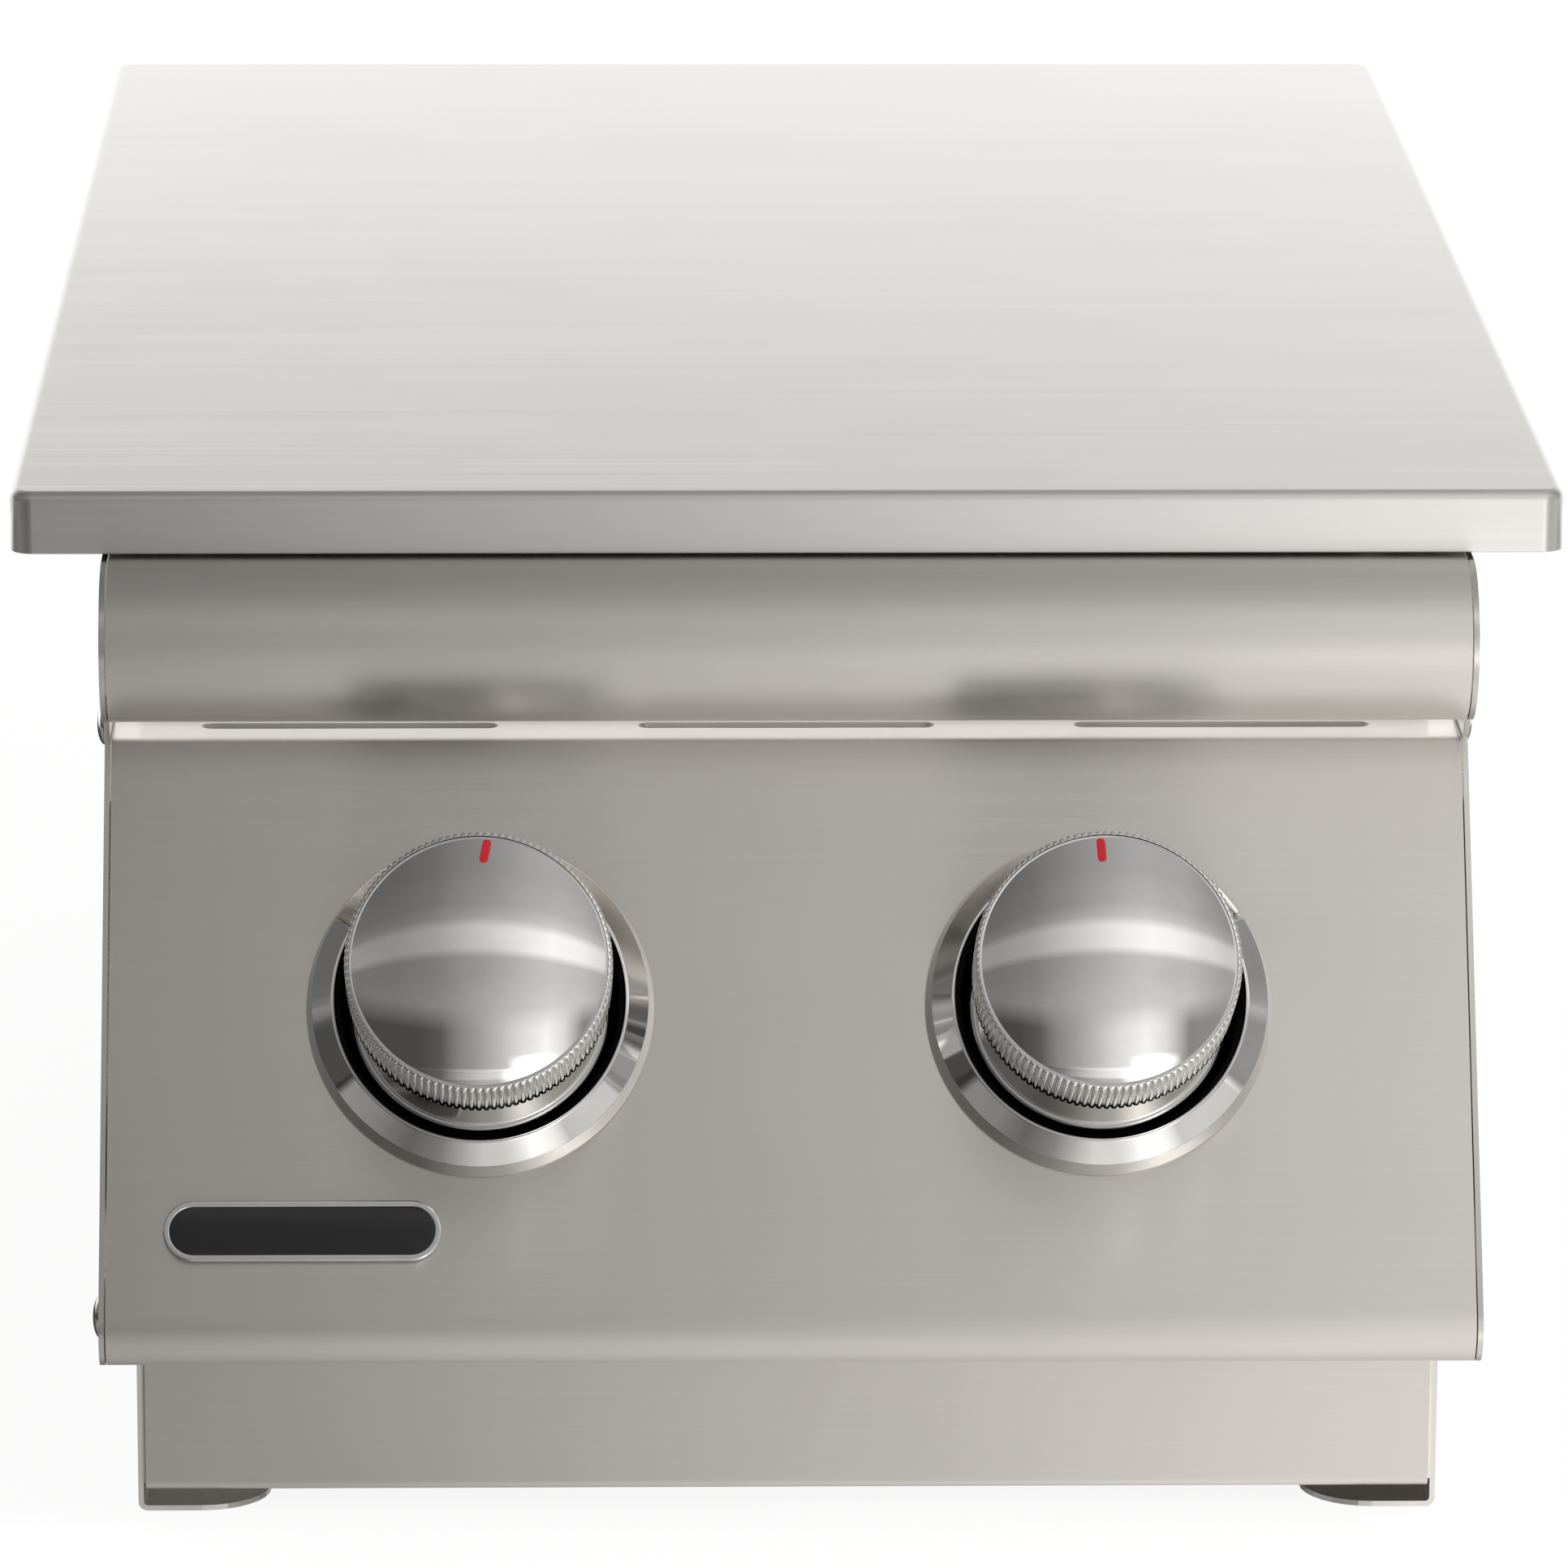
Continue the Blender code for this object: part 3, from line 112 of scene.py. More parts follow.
@dataclass(frozen=True)
class Layout:
    """Sizes shared by several pieces, in metres, as the packed solids have them."""

    sheet: float = 0.0012
    bend: float = 0.0020
    seat_gap: float = 0.0003
    running_gap: float = 0.0006
    lid_width: float = 0.340
    lid_depth: float = 0.525
    lid_inset: float = 0.0023
    lip_height: float = 0.0138
    lip_clearance: float = 0.0010
    box_width: float = 0.287
    panel_width: float = 0.300
    nose_y: float = -0.242596
    nose_height: float = 0.1918
    nose_radius: float = 0.0178
    ledge_gap: float = 0.0057
    ledge_inset: float = 0.0050
    ledge_depth: float = 0.0215
    face_length: float = 0.1294
    lean: float = radians(29.8)
    roll_radius: float = 0.0088
    knob_spacing: float = 0.135
    knob_drop: float = 0.0611
    pan_depth: float = 0.0557
    pan_gap: float = 0.0013
    pan_rim_width: float = 0.0072
    neck_length: float = 0.0160
    sleeve_share: float = 0.7
    shutter_length: float = 0.0180
    shutter_y: float = -0.190052

    @property
    def deck_z(self) -> float:
        """Top of the half-round edge and underside of the hanging flanges."""
        return self.nose_height + self.nose_radius

    @property
    def lip_z(self) -> float:
        """Lower edge of the lid's lip."""
        return self.deck_z + self.lip_clearance

    @property
    def lid_top_z(self) -> float:
        """Top of the lid."""
        return self.lip_z + self.lip_height

    @property
    def lid_middle_y(self) -> float:
        """Middle of the lid and the pan, front to back."""
        return self.nose_y + self.nose_radius + self.lid_inset + self.lid_depth / 2

    @property
    def face_down(self) -> Array:
        """Direction (y, z) down the sloped face."""
        return np.array([-sin(self.lean), -cos(self.lean)])

    @property
    def face_out(self) -> Array:
        """Direction (y, z) square out of the sloped face."""
        return np.array([-cos(self.lean), sin(self.lean)])

    @property
    def bend_point(self) -> Array:
        """Corner (y, z) between the vent ledge and the sloped face."""
        return np.array([
            self.nose_y + self.nose_radius + self.ledge_inset,
            self.nose_height - self.nose_radius - self.ledge_gap,
        ])

    @property
    def face_end(self) -> Array:
        """Lower end (y, z) of the sloped face, where the roll begins."""
        return self.bend_point + self.face_down * self.face_length

    @property
    def roll_centre(self) -> Array:
        """Centre (y, z) of the rolled lower edge."""
        return self.face_end - self.face_out * self.roll_radius

    @property
    def cheek_back_y(self) -> float:
        """Back edge of the end plates."""
        return float(self.bend_point[0]) + self.ledge_depth + self.running_gap + self.sheet

    @property
    def panel_half(self) -> float:
        """Half the width of the sheets between the end plates."""
        return self.panel_width / 2 - self.sheet - self.seat_gap

    @property
    def overhang(self) -> float:
        """How far the lid stands out over the box at each side."""
        return (self.lid_width - self.box_width) / 2

    @property
    def pan_rim_half(self) -> Array:
        """Half sizes (x, y) of the outside of the pan's raised rim."""
        inset = self.sheet + self.pan_gap
        return np.array([self.box_width / 2 - inset, self.lid_depth / 2 - self.overhang - inset])

    @property
    def pan_rim_z(self) -> float:
        """Top of the pan's rim, just under the lid."""
        return self.lid_top_z - self.sheet - self.seat_gap

    @property
    def pan_seat_z(self) -> float:
        """Level on the pan's floor that burners and grates stand at."""
        return self.pan_rim_z - self.pan_depth + self.sheet + self.seat_gap

    def burner_y(self, place: Place) -> float:
        """Front-to-back place of a burner."""
        quarter = (self.pan_rim_half[1] - self.pan_rim_width) / 2
        return self.lid_middle_y + (quarter if place is Place.REAR else -quarter)

    @property
    def sleeve_drop(self) -> float:
        """How far an electrode's sleeve hangs below the pan's floor."""
        return self.neck_length * self.sleeve_share

    def knob_frame(self, side: Side) -> Array:
        """Frame of a knob on the sloped face."""
        return self.face_frame(self.knob_x(side), self.knob_drop)

    def knob_x(self, side: Side) -> float:
        """Sideways place of a knob's axis."""
        return side.value * self.knob_spacing / 2

    def face_frame(self, x: float, drop: float) -> Array:
        """Frame on the sloped face.

        Args:
            x: sideways place.
            drop: distance down the face from its upper bend.

        Returns:
            A 4 x 4 matrix: local X along the panel, Y up the face, Z square out of it.
        """
        foot = self.bend_point + self.face_down * drop
        frame = np.eye(4)
        frame[1:3, 1] = -self.face_down
        frame[1:3, 2] = self.face_out
        frame[:3, 3] = (x, *foot)
        return frame


LAYOUT = Layout()


def arc(centre: Sequence[float], radius: float, start: float, end: float, steps: int) -> Array:
    """Points c + r (cos t, sin t) for t from start to end.

    Args:
        centre: the circle's centre.
        radius: its radius.
        start: first angle, radians.
        end: last angle, radians.
        steps: chords along the arc.

    Returns:
        Points, (steps + 1, 2).
    """
    t = np.linspace(start, end, steps + 1)
    return np.asarray(centre) + radius * np.column_stack([np.cos(t), np.sin(t)])


def bend_path(corners: Sequence[Sequence[float]], steps: int, hold: float = 0.0004) -> Array:
    """Open path with each inner corner rounded: straights joined by arcs that touch both of them.

    A point is held on each straight just before and after an arc, so that flats shade flat.

    Args:
        corners: (a, b) at both ends and (a, b, radius) between them.
        steps: chords of each arc.
        hold: distance of the held points from the arcs.

    Returns:
        Path points, (n, 2).
    """
    spots = [np.array(corner[:2], dtype=float) for corner in corners]
    parts = [spots[0][None]]
    for before, spot, after, corner in zip(spots, spots[1:], spots[2:], corners[1:]):
        radius = corner[2]
        back = (before - spot) / np.linalg.norm(before - spot)
        ahead = (after - spot) / np.linalg.norm(after - spot)
        half = np.arccos(np.clip(back @ ahead, -1, 1)) / 2
        reach = radius / tan(half)
        middle = spot + (back + ahead) / np.linalg.norm(back + ahead) * radius / sin(half)
        first = spot + back * reach - middle
        turn = (pi - 2 * half) * np.sign(first[0] * (spot - middle)[1] - first[1] * (spot - middle)[0])
        t = np.linspace(0, turn, steps + 1)
        spun = np.column_stack([
            first[0] * np.cos(t) - first[1] * np.sin(t),
            first[0] * np.sin(t) + first[1] * np.cos(t),
        ])
        parts += [(spot + back * (reach + hold))[None], middle + spun, (spot + ahead * (reach + hold))[None]]
    parts.append(spots[-1][None])
    path = np.concatenate(parts)
    apart = np.linalg.norm(np.diff(path, axis=0), axis=1) > 1e-7
    return path[np.concatenate([[True], apart])]


def sheet_outline(path: Array, thickness: float) -> Array:
    """Closed outline of a bent sheet: its outer path, and the same path moved to its left by mitres.

    Args:
        path: points of the outer face, (n, 2).
        thickness: sheet thickness; negative moves to the right.

    Returns:
        Outline points, (2 n, 2).
    """
    steps = np.diff(path, axis=0)
    steps /= np.linalg.norm(steps, axis=1)[:, None]
    sides = np.column_stack([-steps[:, 1], steps[:, 0]])
    before = np.concatenate([sides[:1], sides])
    mitre = before + np.concatenate([sides, sides[-1:]])
    mitre /= (mitre * before).sum(axis=1)[:, None]
    return np.concatenate([path, (path + mitre * thickness)[::-1]])


def rounded_rectangle(half: Sequence[float], radius: float, steps: int = 12) -> Array:
    """Points round a rectangle whose corners are quarter circles.

    Args:
        half: half sizes (x, y).
        radius: corner radius.
        steps: chords of each corner.

    Returns:
        Points anticlockwise from the right side, (4 (steps + 1), 2).
    """
    t = np.linspace(0, pi / 2, steps + 1)[None, :] + (np.arange(4) * pi / 2)[:, None]
    signs = np.array([(1, 1), (-1, 1), (-1, -1), (1, -1)])
    centres = signs * (np.asarray(half) - radius)
    circle = np.stack([np.cos(t), np.sin(t)], axis=-1)
    return (centres[:, None, :] + radius * circle).reshape(-1, 2)


def stadium(length: float, width: float, steps: int = 16) -> Array:
    """Points round a slot with half-circle ends, long along its first axis."""
    return rounded_rectangle((length / 2, width / 2), width / 2 * 0.9999, steps)


def evenly(outline: Array, count: int) -> Array:
    """Points spaced evenly by length round a closed outline.

    Args:
        outline: points of the outline, (n, 2).
        count: points wanted.

    Returns:
        Points, (count, 2).
    """
    closed = np.concatenate([outline, outline[:1]])
    reach = np.concatenate([[0.0], np.cumsum(np.linalg.norm(np.diff(closed, axis=0), axis=1))])
    at = np.arange(count) / count * reach[-1]
    return np.column_stack([np.interp(at, reach, closed[:, axis]) for axis in (0, 1)])


def catmull(points: Sequence[Sequence[float]], pieces: int) -> Array:
    """Catmull-Rom curve: on each stretch a cubic whose end slopes are half the chords across.

    Args:
        points: points that the curve passes through, (n, 2) or (n, 3).
        pieces: samples to each stretch.

    Returns:
        Curve points, ((n - 1) pieces + 1, as many numbers as given).
    """
    p = np.asarray(points, dtype=float)
    padded = np.concatenate([[2 * p[0] - p[1]], p, [2 * p[-1] - p[-2]]])
    a, b, c, d = (padded[i:len(padded) - 3 + i][:, None, :] for i in range(4))
    t = (np.arange(pieces) / pieces)[None, :, None]
    curve = 0.5 * (2 * b + (c - a) * t + (2 * a - 5 * b + 4 * c - d) * t**2 + (3 * b - a - 3 * c + d) * t**3)
    return np.concatenate([curve.reshape(-1, p.shape[1]), p[-1:]])


def lathe(profile: Array, sides: int) -> Array:
    """Profile of (radius, height) turned about local Z: (r cos t, r sin t, h).

    Args:
        profile: (n, 2).
        sides: samples round the axis.

    Returns:
        Grid of points, (n, sides, 3).
    """
    t = np.arange(sides) * 2 * pi / sides
    r, h = profile[:, :1], profile[:, 1:]
    return np.stack([r * np.cos(t), r * np.sin(t), np.broadcast_to(h, (len(profile), sides))], axis=-1)


def tube(path: Array, radius: float, sides: int, across: Sequence[float], closed: bool = False) -> Array:
    """Circles of one radius square to a path.

    At each point the heading h and the side s = h x across give the circle p + r (s cos t + (s x h) sin t).

    Args:
        path: middle line, (n, 3).
        radius: tube radius.
        sides: samples round the tube.
        across: a direction that the path never follows.
        closed: whether the path comes back to its start.

    Returns:
        Grid of points, (n, sides, 3).
    """
    if closed:
        heading = np.roll(path, -1, axis=0) - np.roll(path, 1, axis=0)
    else:
        heading = np.gradient(path, axis=0)
    heading = heading / np.linalg.norm(heading, axis=1)[:, None]
    side = np.cross(heading, np.asarray(across, dtype=float))
    side /= np.linalg.norm(side, axis=1)[:, None]
    other = np.cross(side, heading)
    t = (np.arange(sides) * 2 * pi / sides)[None, :, None]
    return path[:, None, :] + radius * (side[:, None, :] * np.cos(t) + other[:, None, :] * np.sin(t))


def placed(grid: Array, frame: Array) -> Array:
    """Grid moved by a 4 x 4 frame."""
    return grid @ frame[:3, :3].T + frame[:3, 3]


def facing(axis: str, spot: Sequence[float], sign: int = 1) -> Array:
    """Frame whose local Z points along a named axis.

    Args:
        axis: "X", "Y" or "Z".
        spot: the frame's origin.
        sign: 1 or -1, the way along the axis.

    Returns:
        A 4 x 4 matrix.
    """
    turns = {
        "X": Matrix.Rotation(sign * pi / 2, 4, "Y"),
        "Y": Matrix.Rotation(-sign * pi / 2, 4, "X"),
        "Z": Matrix.Identity(4),
    }
    frame = np.array(turns[axis])
    frame[:3, 3] = spot
    return frame


@dataclass
class Surface:
    """Points and faces of one piece, gathered patch by patch."""

    patches: list[Array] = field(default_factory=list)
    faces: list[tuple[int, ...]] = field(default_factory=list)
    size: int = 0

    def add(self, grid: Array, ring: bool = False, loop: bool = True, capped: bool = False) -> Surface:
        """Add a grid of points.

        Args:
            grid: (rows, columns, 3).
            ring: whether the last row joins the first.
            loop: whether the last column joins the first.
            capped: whether the first and last rows are closed by flat faces.

        Returns:
            This surface.
        """
        rows, columns = grid.shape[:2]
        i = np.arange(rows if ring else rows - 1)[:, None]
        j = np.arange(columns if loop else columns - 1)[None, :]
        low, high = i * columns, (i + 1) % rows * columns
        after = (j + 1) % columns
        corners = np.stack([low + j, low + after, high + after, high + j], axis=-1)
        self.faces += list(map(tuple, (corners.reshape(-1, 4) + self.size).tolist()))
        if capped:
            first = np.arange(columns) + self.size
            self.faces += [tuple(first.tolist()), tuple((first + (rows - 1) * columns).tolist())]
        self.patches.append(grid.reshape(-1, 3))
        self.size += rows * columns
        return self

    def mesh(self, name: str, sharp: float = 35.0) -> Mesh:
        """Mesh with welded seams, faces turned outwards and smooth shading up to an edge angle.

        Args:
            name: the mesh's name.
            sharp: edge angle in degrees above which an edge stays sharp.

        Returns:
            The mesh.
        """
        mesh = bpy.data.meshes.new(name)
        mesh.from_pydata(np.concatenate(self.patches).tolist(), [], self.faces)
        work = bmesh.new()
        work.from_mesh(mesh)
        bmesh.ops.remove_doubles(work, verts=work.verts, dist=1e-7)
        bmesh.ops.recalc_face_normals(work, faces=work.faces)
        work.to_mesh(mesh)
        work.free()
        mesh.shade_smooth()
        mesh.set_sharp_from_angle(angle=radians(sharp))
        return mesh


def carved(mesh: Mesh, cutters: Sequence[Mesh], sharp: float = 35.0) -> Mesh:
    """The mesh with other meshes cut out of it.

    Args:
        mesh: closed mesh to cut.
        cutters: closed meshes to take away.
        sharp: edge angle in degrees above which an edge stays sharp.

    Returns:
        A new mesh of the same name.
    """
    work = bpy.data.objects.new(mesh.name, mesh)
    tools = [bpy.data.objects.new(cutter.name, cutter) for cutter in cutters]
    for obj in (work, *tools):
        bpy.context.scene.collection.objects.link(obj)
    for tool in tools:
        modifier = work.modifiers.new(tool.name, "BOOLEAN")
        modifier.operation = "DIFFERENCE"
        modifier.solver = "EXACT"
        modifier.object = tool
    evaluated = work.evaluated_get(bpy.context.evaluated_depsgraph_get())
    result = bpy.data.meshes.new_from_object(evaluated)
    for obj in (work, *tools):
        data = obj.data
        bpy.data.objects.remove(obj, do_unlink=True)
        bpy.data.meshes.remove(data)
    result.shade_smooth()
    result.set_sharp_from_angle(angle=radians(sharp))
    return result


class Tree:
    """Adds and joins nodes in one node tree."""

    def __init__(self, tree: bpy.types.NodeTree) -> None:
        """Keep the tree that nodes go into."""
        self.tree = tree

    def feed(self, node: Node, values: dict) -> None:
        """Set or link a node's inputs: socket name or number to a plain value, or to a socket."""
        for key, value in values.items():
            if isinstance(value, Socket):
                self.tree.links.new(value, node.inputs[key])
            else:
                node.inputs[key].default_value = value

    def add(self, kind: str, values: dict | None = None, **settings: object) -> Node:
        """Add a node.

        Args:
            kind: the node's type name.
            values: the node's inputs, as feed takes them.
            settings: the node's own settings.

        Returns:
            The node.
        """
        node = self.tree.nodes.new(kind)
        for key, value in settings.items():
            setattr(node, key, value)
        self.feed(node, values or {})
        return node

    def spread(self, value: Socket, low: float, high: float, start: float = 0.0, end: float = 1.0) -> Socket:
        """Value carried from start..end to low..high, clamped."""
        node = self.add("ShaderNodeMapRange", {0: value, 1: start, 2: end, 3: low, 4: high})
        return node.outputs[0]

    def ramp(self, value: Socket, stops: Sequence[tuple[float, float]]) -> Socket:
        """Level read from stops of (value, level), straight between them."""
        first, last = stops[0][0], stops[-1][0]
        node = self.add("ShaderNodeValToRGB", {0: self.spread(value, 0.0, 1.0, first, last)})
        elements = node.color_ramp.elements
        for place, _ in stops[1:-1]:
            elements.new((place - first) / (last - first))
        for element, (_, level) in zip(elements, stops):
            element.color = (level, level, level, 1.0)
        return node.outputs[0]

    def mix(self, factor: Socket, first: Sequence[float], second: Sequence[float]) -> Socket:
        """Colour between two colours."""
        node = self.add("ShaderNodeMix", {0: factor, 6: (*first, 1.0), 7: (*second, 1.0)}, data_type="RGBA")
        return node.outputs[2]

    def maths(self, operation: str, first: object, second: object) -> Socket:
        """Result of a sum, product or the like of two values."""
        return self.add("ShaderNodeMath", {0: first, 1: second}, operation=operation).outputs[0]

    def blend(self, factor: Socket, first: Socket, second: Socket) -> Socket:
        """Value between two values."""
        return self.add("ShaderNodeMix", {0: factor, 2: first, 3: second}).outputs[0]

    def weigh(self, first: Socket, second: Socket, share: float) -> Socket:
        """Sum of two values, the first by its share and the second by the rest."""
        rest = self.maths("MULTIPLY", second, 1.0 - share)
        return self.maths("ADD", self.maths("MULTIPLY", first, share), rest)

    def place(self) -> Socket:
        """Where a point lies on its own object."""
        return self.add("ShaderNodeTexCoord").outputs["Object"]

    def scaled(self, place: Socket, by: Sequence[float] | Socket) -> Socket:
        """Place drawn out by a factor along each axis."""
        return self.add("ShaderNodeVectorMath", {0: place, 1: by}, operation="MULTIPLY").outputs[0]

    def relief(self, height: Socket, strength: float, depth: float) -> Socket:
        """Normal of a surface with small heights on it."""
        values = {"Strength": strength, "Distance": depth, "Height": height}
        return self.add("ShaderNodeBump", values).outputs[0]

    def effect(self, group: bpy.types.NodeTree, values: dict) -> bpy.types.bpy_prop_collection:
        """Outputs of a shared group that is given these values."""
        return self.add("ShaderNodeGroup", values, node_tree=group).outputs

    def noise(self, place: Socket, scale: float | Socket, detail: float, distortion: float = 0.0) -> Socket:
        """Cloudy noise over a place."""
        values = {0: place, "Scale": scale, "Detail": detail, "Distortion": distortion}
        return self.add("ShaderNodeTexNoise", values).outputs[0]


class Effects:
    """Shader node groups that several finishes share, each built when it is first asked for."""

    @staticmethod
    def start(name: str, given: tuple[str, str], outputs: Sequence[str]) -> tuple[Tree, Socket]:
        """Begin a group with one input.

        Args:
            name: the group's name.
            given: the input's name and socket type.
            outputs: names of the values that it puts out.

        Returns:
            The group's tree, and its input.
        """
        group = bpy.data.node_groups.new(name, "ShaderNodeTree")
        group.interface.new_socket(given[0], in_out="INPUT", socket_type=given[1])
        for word in outputs:
            group.interface.new_socket(word, in_out="OUTPUT", socket_type="NodeSocketFloat")
        tree = Tree(group)
        return tree, tree.add("NodeGroupInput").outputs[given[0]]

    @cached_property
    def brush_strokes(self) -> bpy.types.NodeTree:
        """Strokes of a belt: noise drawn out by Stretch, coarse and fine, and their height."""
        tree, stretch = self.start("brush_strokes", ("Stretch", "NodeSocketVector"), ["Stroke", "Height"])
        coarse = tree.scaled(tree.place(), stretch)
        fine = tree.scaled(coarse, (2.3, 2.9, 2.9))
        both = tree.weigh(tree.noise(coarse, 1.0, 3.0), tree.noise(fine, 1.0, 2.0), 0.6)
        tree.add("NodeGroupOutput", {"Stroke": tree.spread(both, 0.0, 1.0, 0.32, 0.68), "Height": both})
        return tree.tree

    @cached_property
    def handling_marks(self) -> bpy.types.NodeTree:
        """Faint clouds that handling and wiping leave: two broad noises multiplied together."""
        tree, scale = self.start("handling_marks", ("Scale", "NodeSocketFloat"), ["Mark"])
        place = tree.place()
        broad = tree.noise(place, scale, 2.0, 0.6)
        narrow = tree.noise(place, tree.maths("MULTIPLY", scale, 4.0), 3.0)
        product = tree.maths("MULTIPLY", broad, narrow)
        tree.add("NodeGroupOutput", {"Mark": tree.spread(product, 0.0, 1.0, 0.18, 0.38)})
        return tree.tree

    @cached_property
    def surface_grit(self) -> bpy.types.NodeTree:
        """Grit of a cast, galvanised or fired surface: cells and fine noise, and their height."""
        tree, scale = self.start("surface_grit", ("Scale", "NodeSocketFloat"), ["Grit", "Height"])
        place = tree.place()
        cells = tree.add("ShaderNodeTexVoronoi", {"Vector": place, "Scale": scale}).outputs["Distance"]
        both = tree.weigh(cells, tree.noise(place, tree.maths("MULTIPLY", scale, 1.7), 4.0), 0.5)
        tree.add("NodeGroupOutput", {"Grit": tree.spread(both, 0.0, 1.0, 0.25, 0.65), "Height": both})
        return tree.tree


EFFECTS = Effects()


@dataclass(frozen=True)
class Finish:
    """A finish: its name, colour, roughness and how far it is metal."""

    name: str
    colour: tuple[float, float, float]
    roughness: float
    metallic: float = 1.0

    def material(self) -> bpy.types.Material:
        """The finish's material, made on first use."""
        made = bpy.data.materials.get(self.name)
        if made is None:
            made = bpy.data.materials.new(self.name)
            made.use_nodes = True
            shader = made.node_tree.nodes["Principled BSDF"]
            shader.inputs["Metallic"].default_value = self.metallic
            self.paint(Tree(made.node_tree), shader)
        return made

    def shade(self, share: float) -> tuple[float, float, float]:
        """The finish's colour, darker or lighter by a share."""
        return tuple(min(1.0, part * share) for part in self.colour)

    def paint(self, tree: Tree, shader: Node) -> None:
        """Join what varies over the surface to the shader."""
        raise NotImplementedError


@dataclass(frozen=True)
class BrushedSteel(Finish):
    """Stainless sheet with a belt grain: strokes stretch reflections across the grain."""

    grain: Grain = Grain.ALONG_X
    anisotropy: float = 0.95
    stroke_length: float = 4.0
    stroke_count: float = 1500.0
    stroke_swing: float = 0.035
    stroke_shades: tuple[float, float] = (0.975, 1.02)
    stroke_bump: float = 0.012
    stroke_depth: float = 0.0004
    dulling: float = 0.03
    mark_scale: float = 7.0

    def paint(self, tree: Tree, shader: Node) -> None:
        """Strokes vary colour and roughness, marks dull them, and the tangent runs across the grain."""
        stretch = [self.stroke_length if axis == self.grain.value else self.stroke_count for axis in "XYZ"]
        strokes = tree.effect(EFFECTS.brush_strokes, {"Stretch": stretch})
        marks = tree.effect(EFFECTS.handling_marks, {"Scale": self.mark_scale})
        smooth, rough = self.roughness - self.stroke_swing, self.roughness + self.stroke_swing
        grain = tree.spread(strokes["Stroke"], smooth, rough)
        dark, light = self.stroke_shades
        tangent = tree.add("ShaderNodeTangent", direction_type="RADIAL", axis=self.grain.value)
        tree.feed(shader, {
            "Base Color": tree.mix(strokes["Stroke"], self.shade(dark), self.shade(light)),
            "Roughness": tree.maths("ADD", grain, tree.spread(marks["Mark"], 0.0, self.dulling)),
            "Normal": tree.relief(strokes["Height"], self.stroke_bump, self.stroke_depth),
            "Tangent": tangent.outputs[0],
            "Anisotropic": self.anisotropy,
        })


@dataclass(frozen=True)
class Polished(Finish):
    """Bright plating or turned metal: clean reflections, a little duller where it is handled."""

    dulling: float = 0.05
    mark_scale: float = 30.0
    mark_shade: float = 0.93

    def paint(self, tree: Tree, shader: Node) -> None:
        """Handling marks raise the roughness and take a little colour away."""
        mark = tree.effect(EFFECTS.handling_marks, {"Scale": self.mark_scale})["Mark"]
        tree.feed(shader, {
            "Base Color": tree.mix(mark, self.shade(1.0), self.shade(self.mark_shade)),
            "Roughness": tree.spread(mark, self.roughness, self.roughness + self.dulling),
        })


@dataclass(frozen=True)
class Gritty(Finish):
    """Cast, galvanised, fired or moulded surface with a fine grit."""

    grit_scale: float = 400.0
    contrast: float = 0.15
    swing: float = 0.06
    bump: float = 0.15
    bump_depth: float = 0.0006

    def paint(self, tree: Tree, shader: Node) -> None:
        """Grit varies colour and roughness and stands up as a bump."""
        grit = tree.effect(EFFECTS.surface_grit, {"Scale": self.grit_scale})
        dark, light = self.shade(1.0 - self.contrast), self.shade(1.0 + self.contrast)
        tree.feed(shader, {
            "Base Color": tree.mix(grit["Grit"], dark, light),
            "Roughness": tree.spread(grit["Grit"], self.roughness - self.swing, self.roughness + self.swing),
            "Normal": tree.relief(grit["Height"], self.bump, self.bump_depth),
        })


STEEL_X = BrushedSteel("brushed_steel_sideways", (0.720, 0.694, 0.663), 0.32)
STEEL_Y = BrushedSteel("brushed_steel_front_to_back", (0.700, 0.675, 0.645), 0.38, grain=Grain.ALONG_Y)
STEEL_NOSE = BrushedSteel("brushed_steel_half_round", (0.720, 0.694, 0.663), 0.30)
STEEL_CHEEK = BrushedSteel("brushed_steel_cheek", (0.640, 0.616, 0.588), 0.27, grain=Grain.ALONG_Y,
                           anisotropy=0.5)
STEEL_LID = BrushedSteel("brushed_steel_lid", (0.720, 0.712, 0.698), 0.36, anisotropy=0.7, dulling=0.008)
STEEL_PAN = BrushedSteel("drawn_steel_pan", (0.600, 0.590, 0.575), 0.30, anisotropy=0.4)
CHROME = Polished("polished_chrome", (0.800, 0.795, 0.785), 0.035)
BRIGHT_RIM = Polished("bright_rim", (0.780, 0.775, 0.770), 0.16)
BRIGHT_BOLT = Polished("bright_bolt", (0.700, 0.690, 0.675), 0.14, dulling=0.08)
GRATE_ROD = Polished("drawn_grate_rod", (0.480, 0.470, 0.455), 0.26, dulling=0.14)
TURNED_BRASS = Polished("turned_brass", (0.720, 0.530, 0.250), 0.24, dulling=0.12)
ENAMEL = Polished("black_enamel", (0.012, 0.012, 0.013), 0.16, metallic=0.0)
POINTER_RED = Polished("pointer_red", (0.620, 0.012, 0.022), 0.30, metallic=0.0)
# Near-black finish of the thin sheet in each bezel's well: painted shade where the knob shades the well.
WELL_PAINTED_SHADE = Gritty("blackened_well", (0.010, 0.010, 0.010), 0.55, 0.0, grit_scale=700.0, contrast=0.2,
                    bump=0.05)
GALVANISED = Gritty("galvanised_steel", (0.520, 0.525, 0.535), 0.42, grit_scale=90.0, contrast=0.12,
                    bump=0.04)
CAST_IRON = Gritty("rough_cast_iron", (0.085, 0.084, 0.083), 0.66, 0.6, grit_scale=620.0, contrast=0.35,
                   bump=0.45)
CERAMIC = Gritty("glazed_sleeve", (0.800, 0.780, 0.735), 0.34, 0.0, grit_scale=300.0, contrast=0.05,
                 bump=0.03)
SILICONE = Gritty("red_silicone", (0.420, 0.045, 0.038), 0.52, 0.0, grit_scale=900.0, contrast=0.10,
                  bump=0.05)


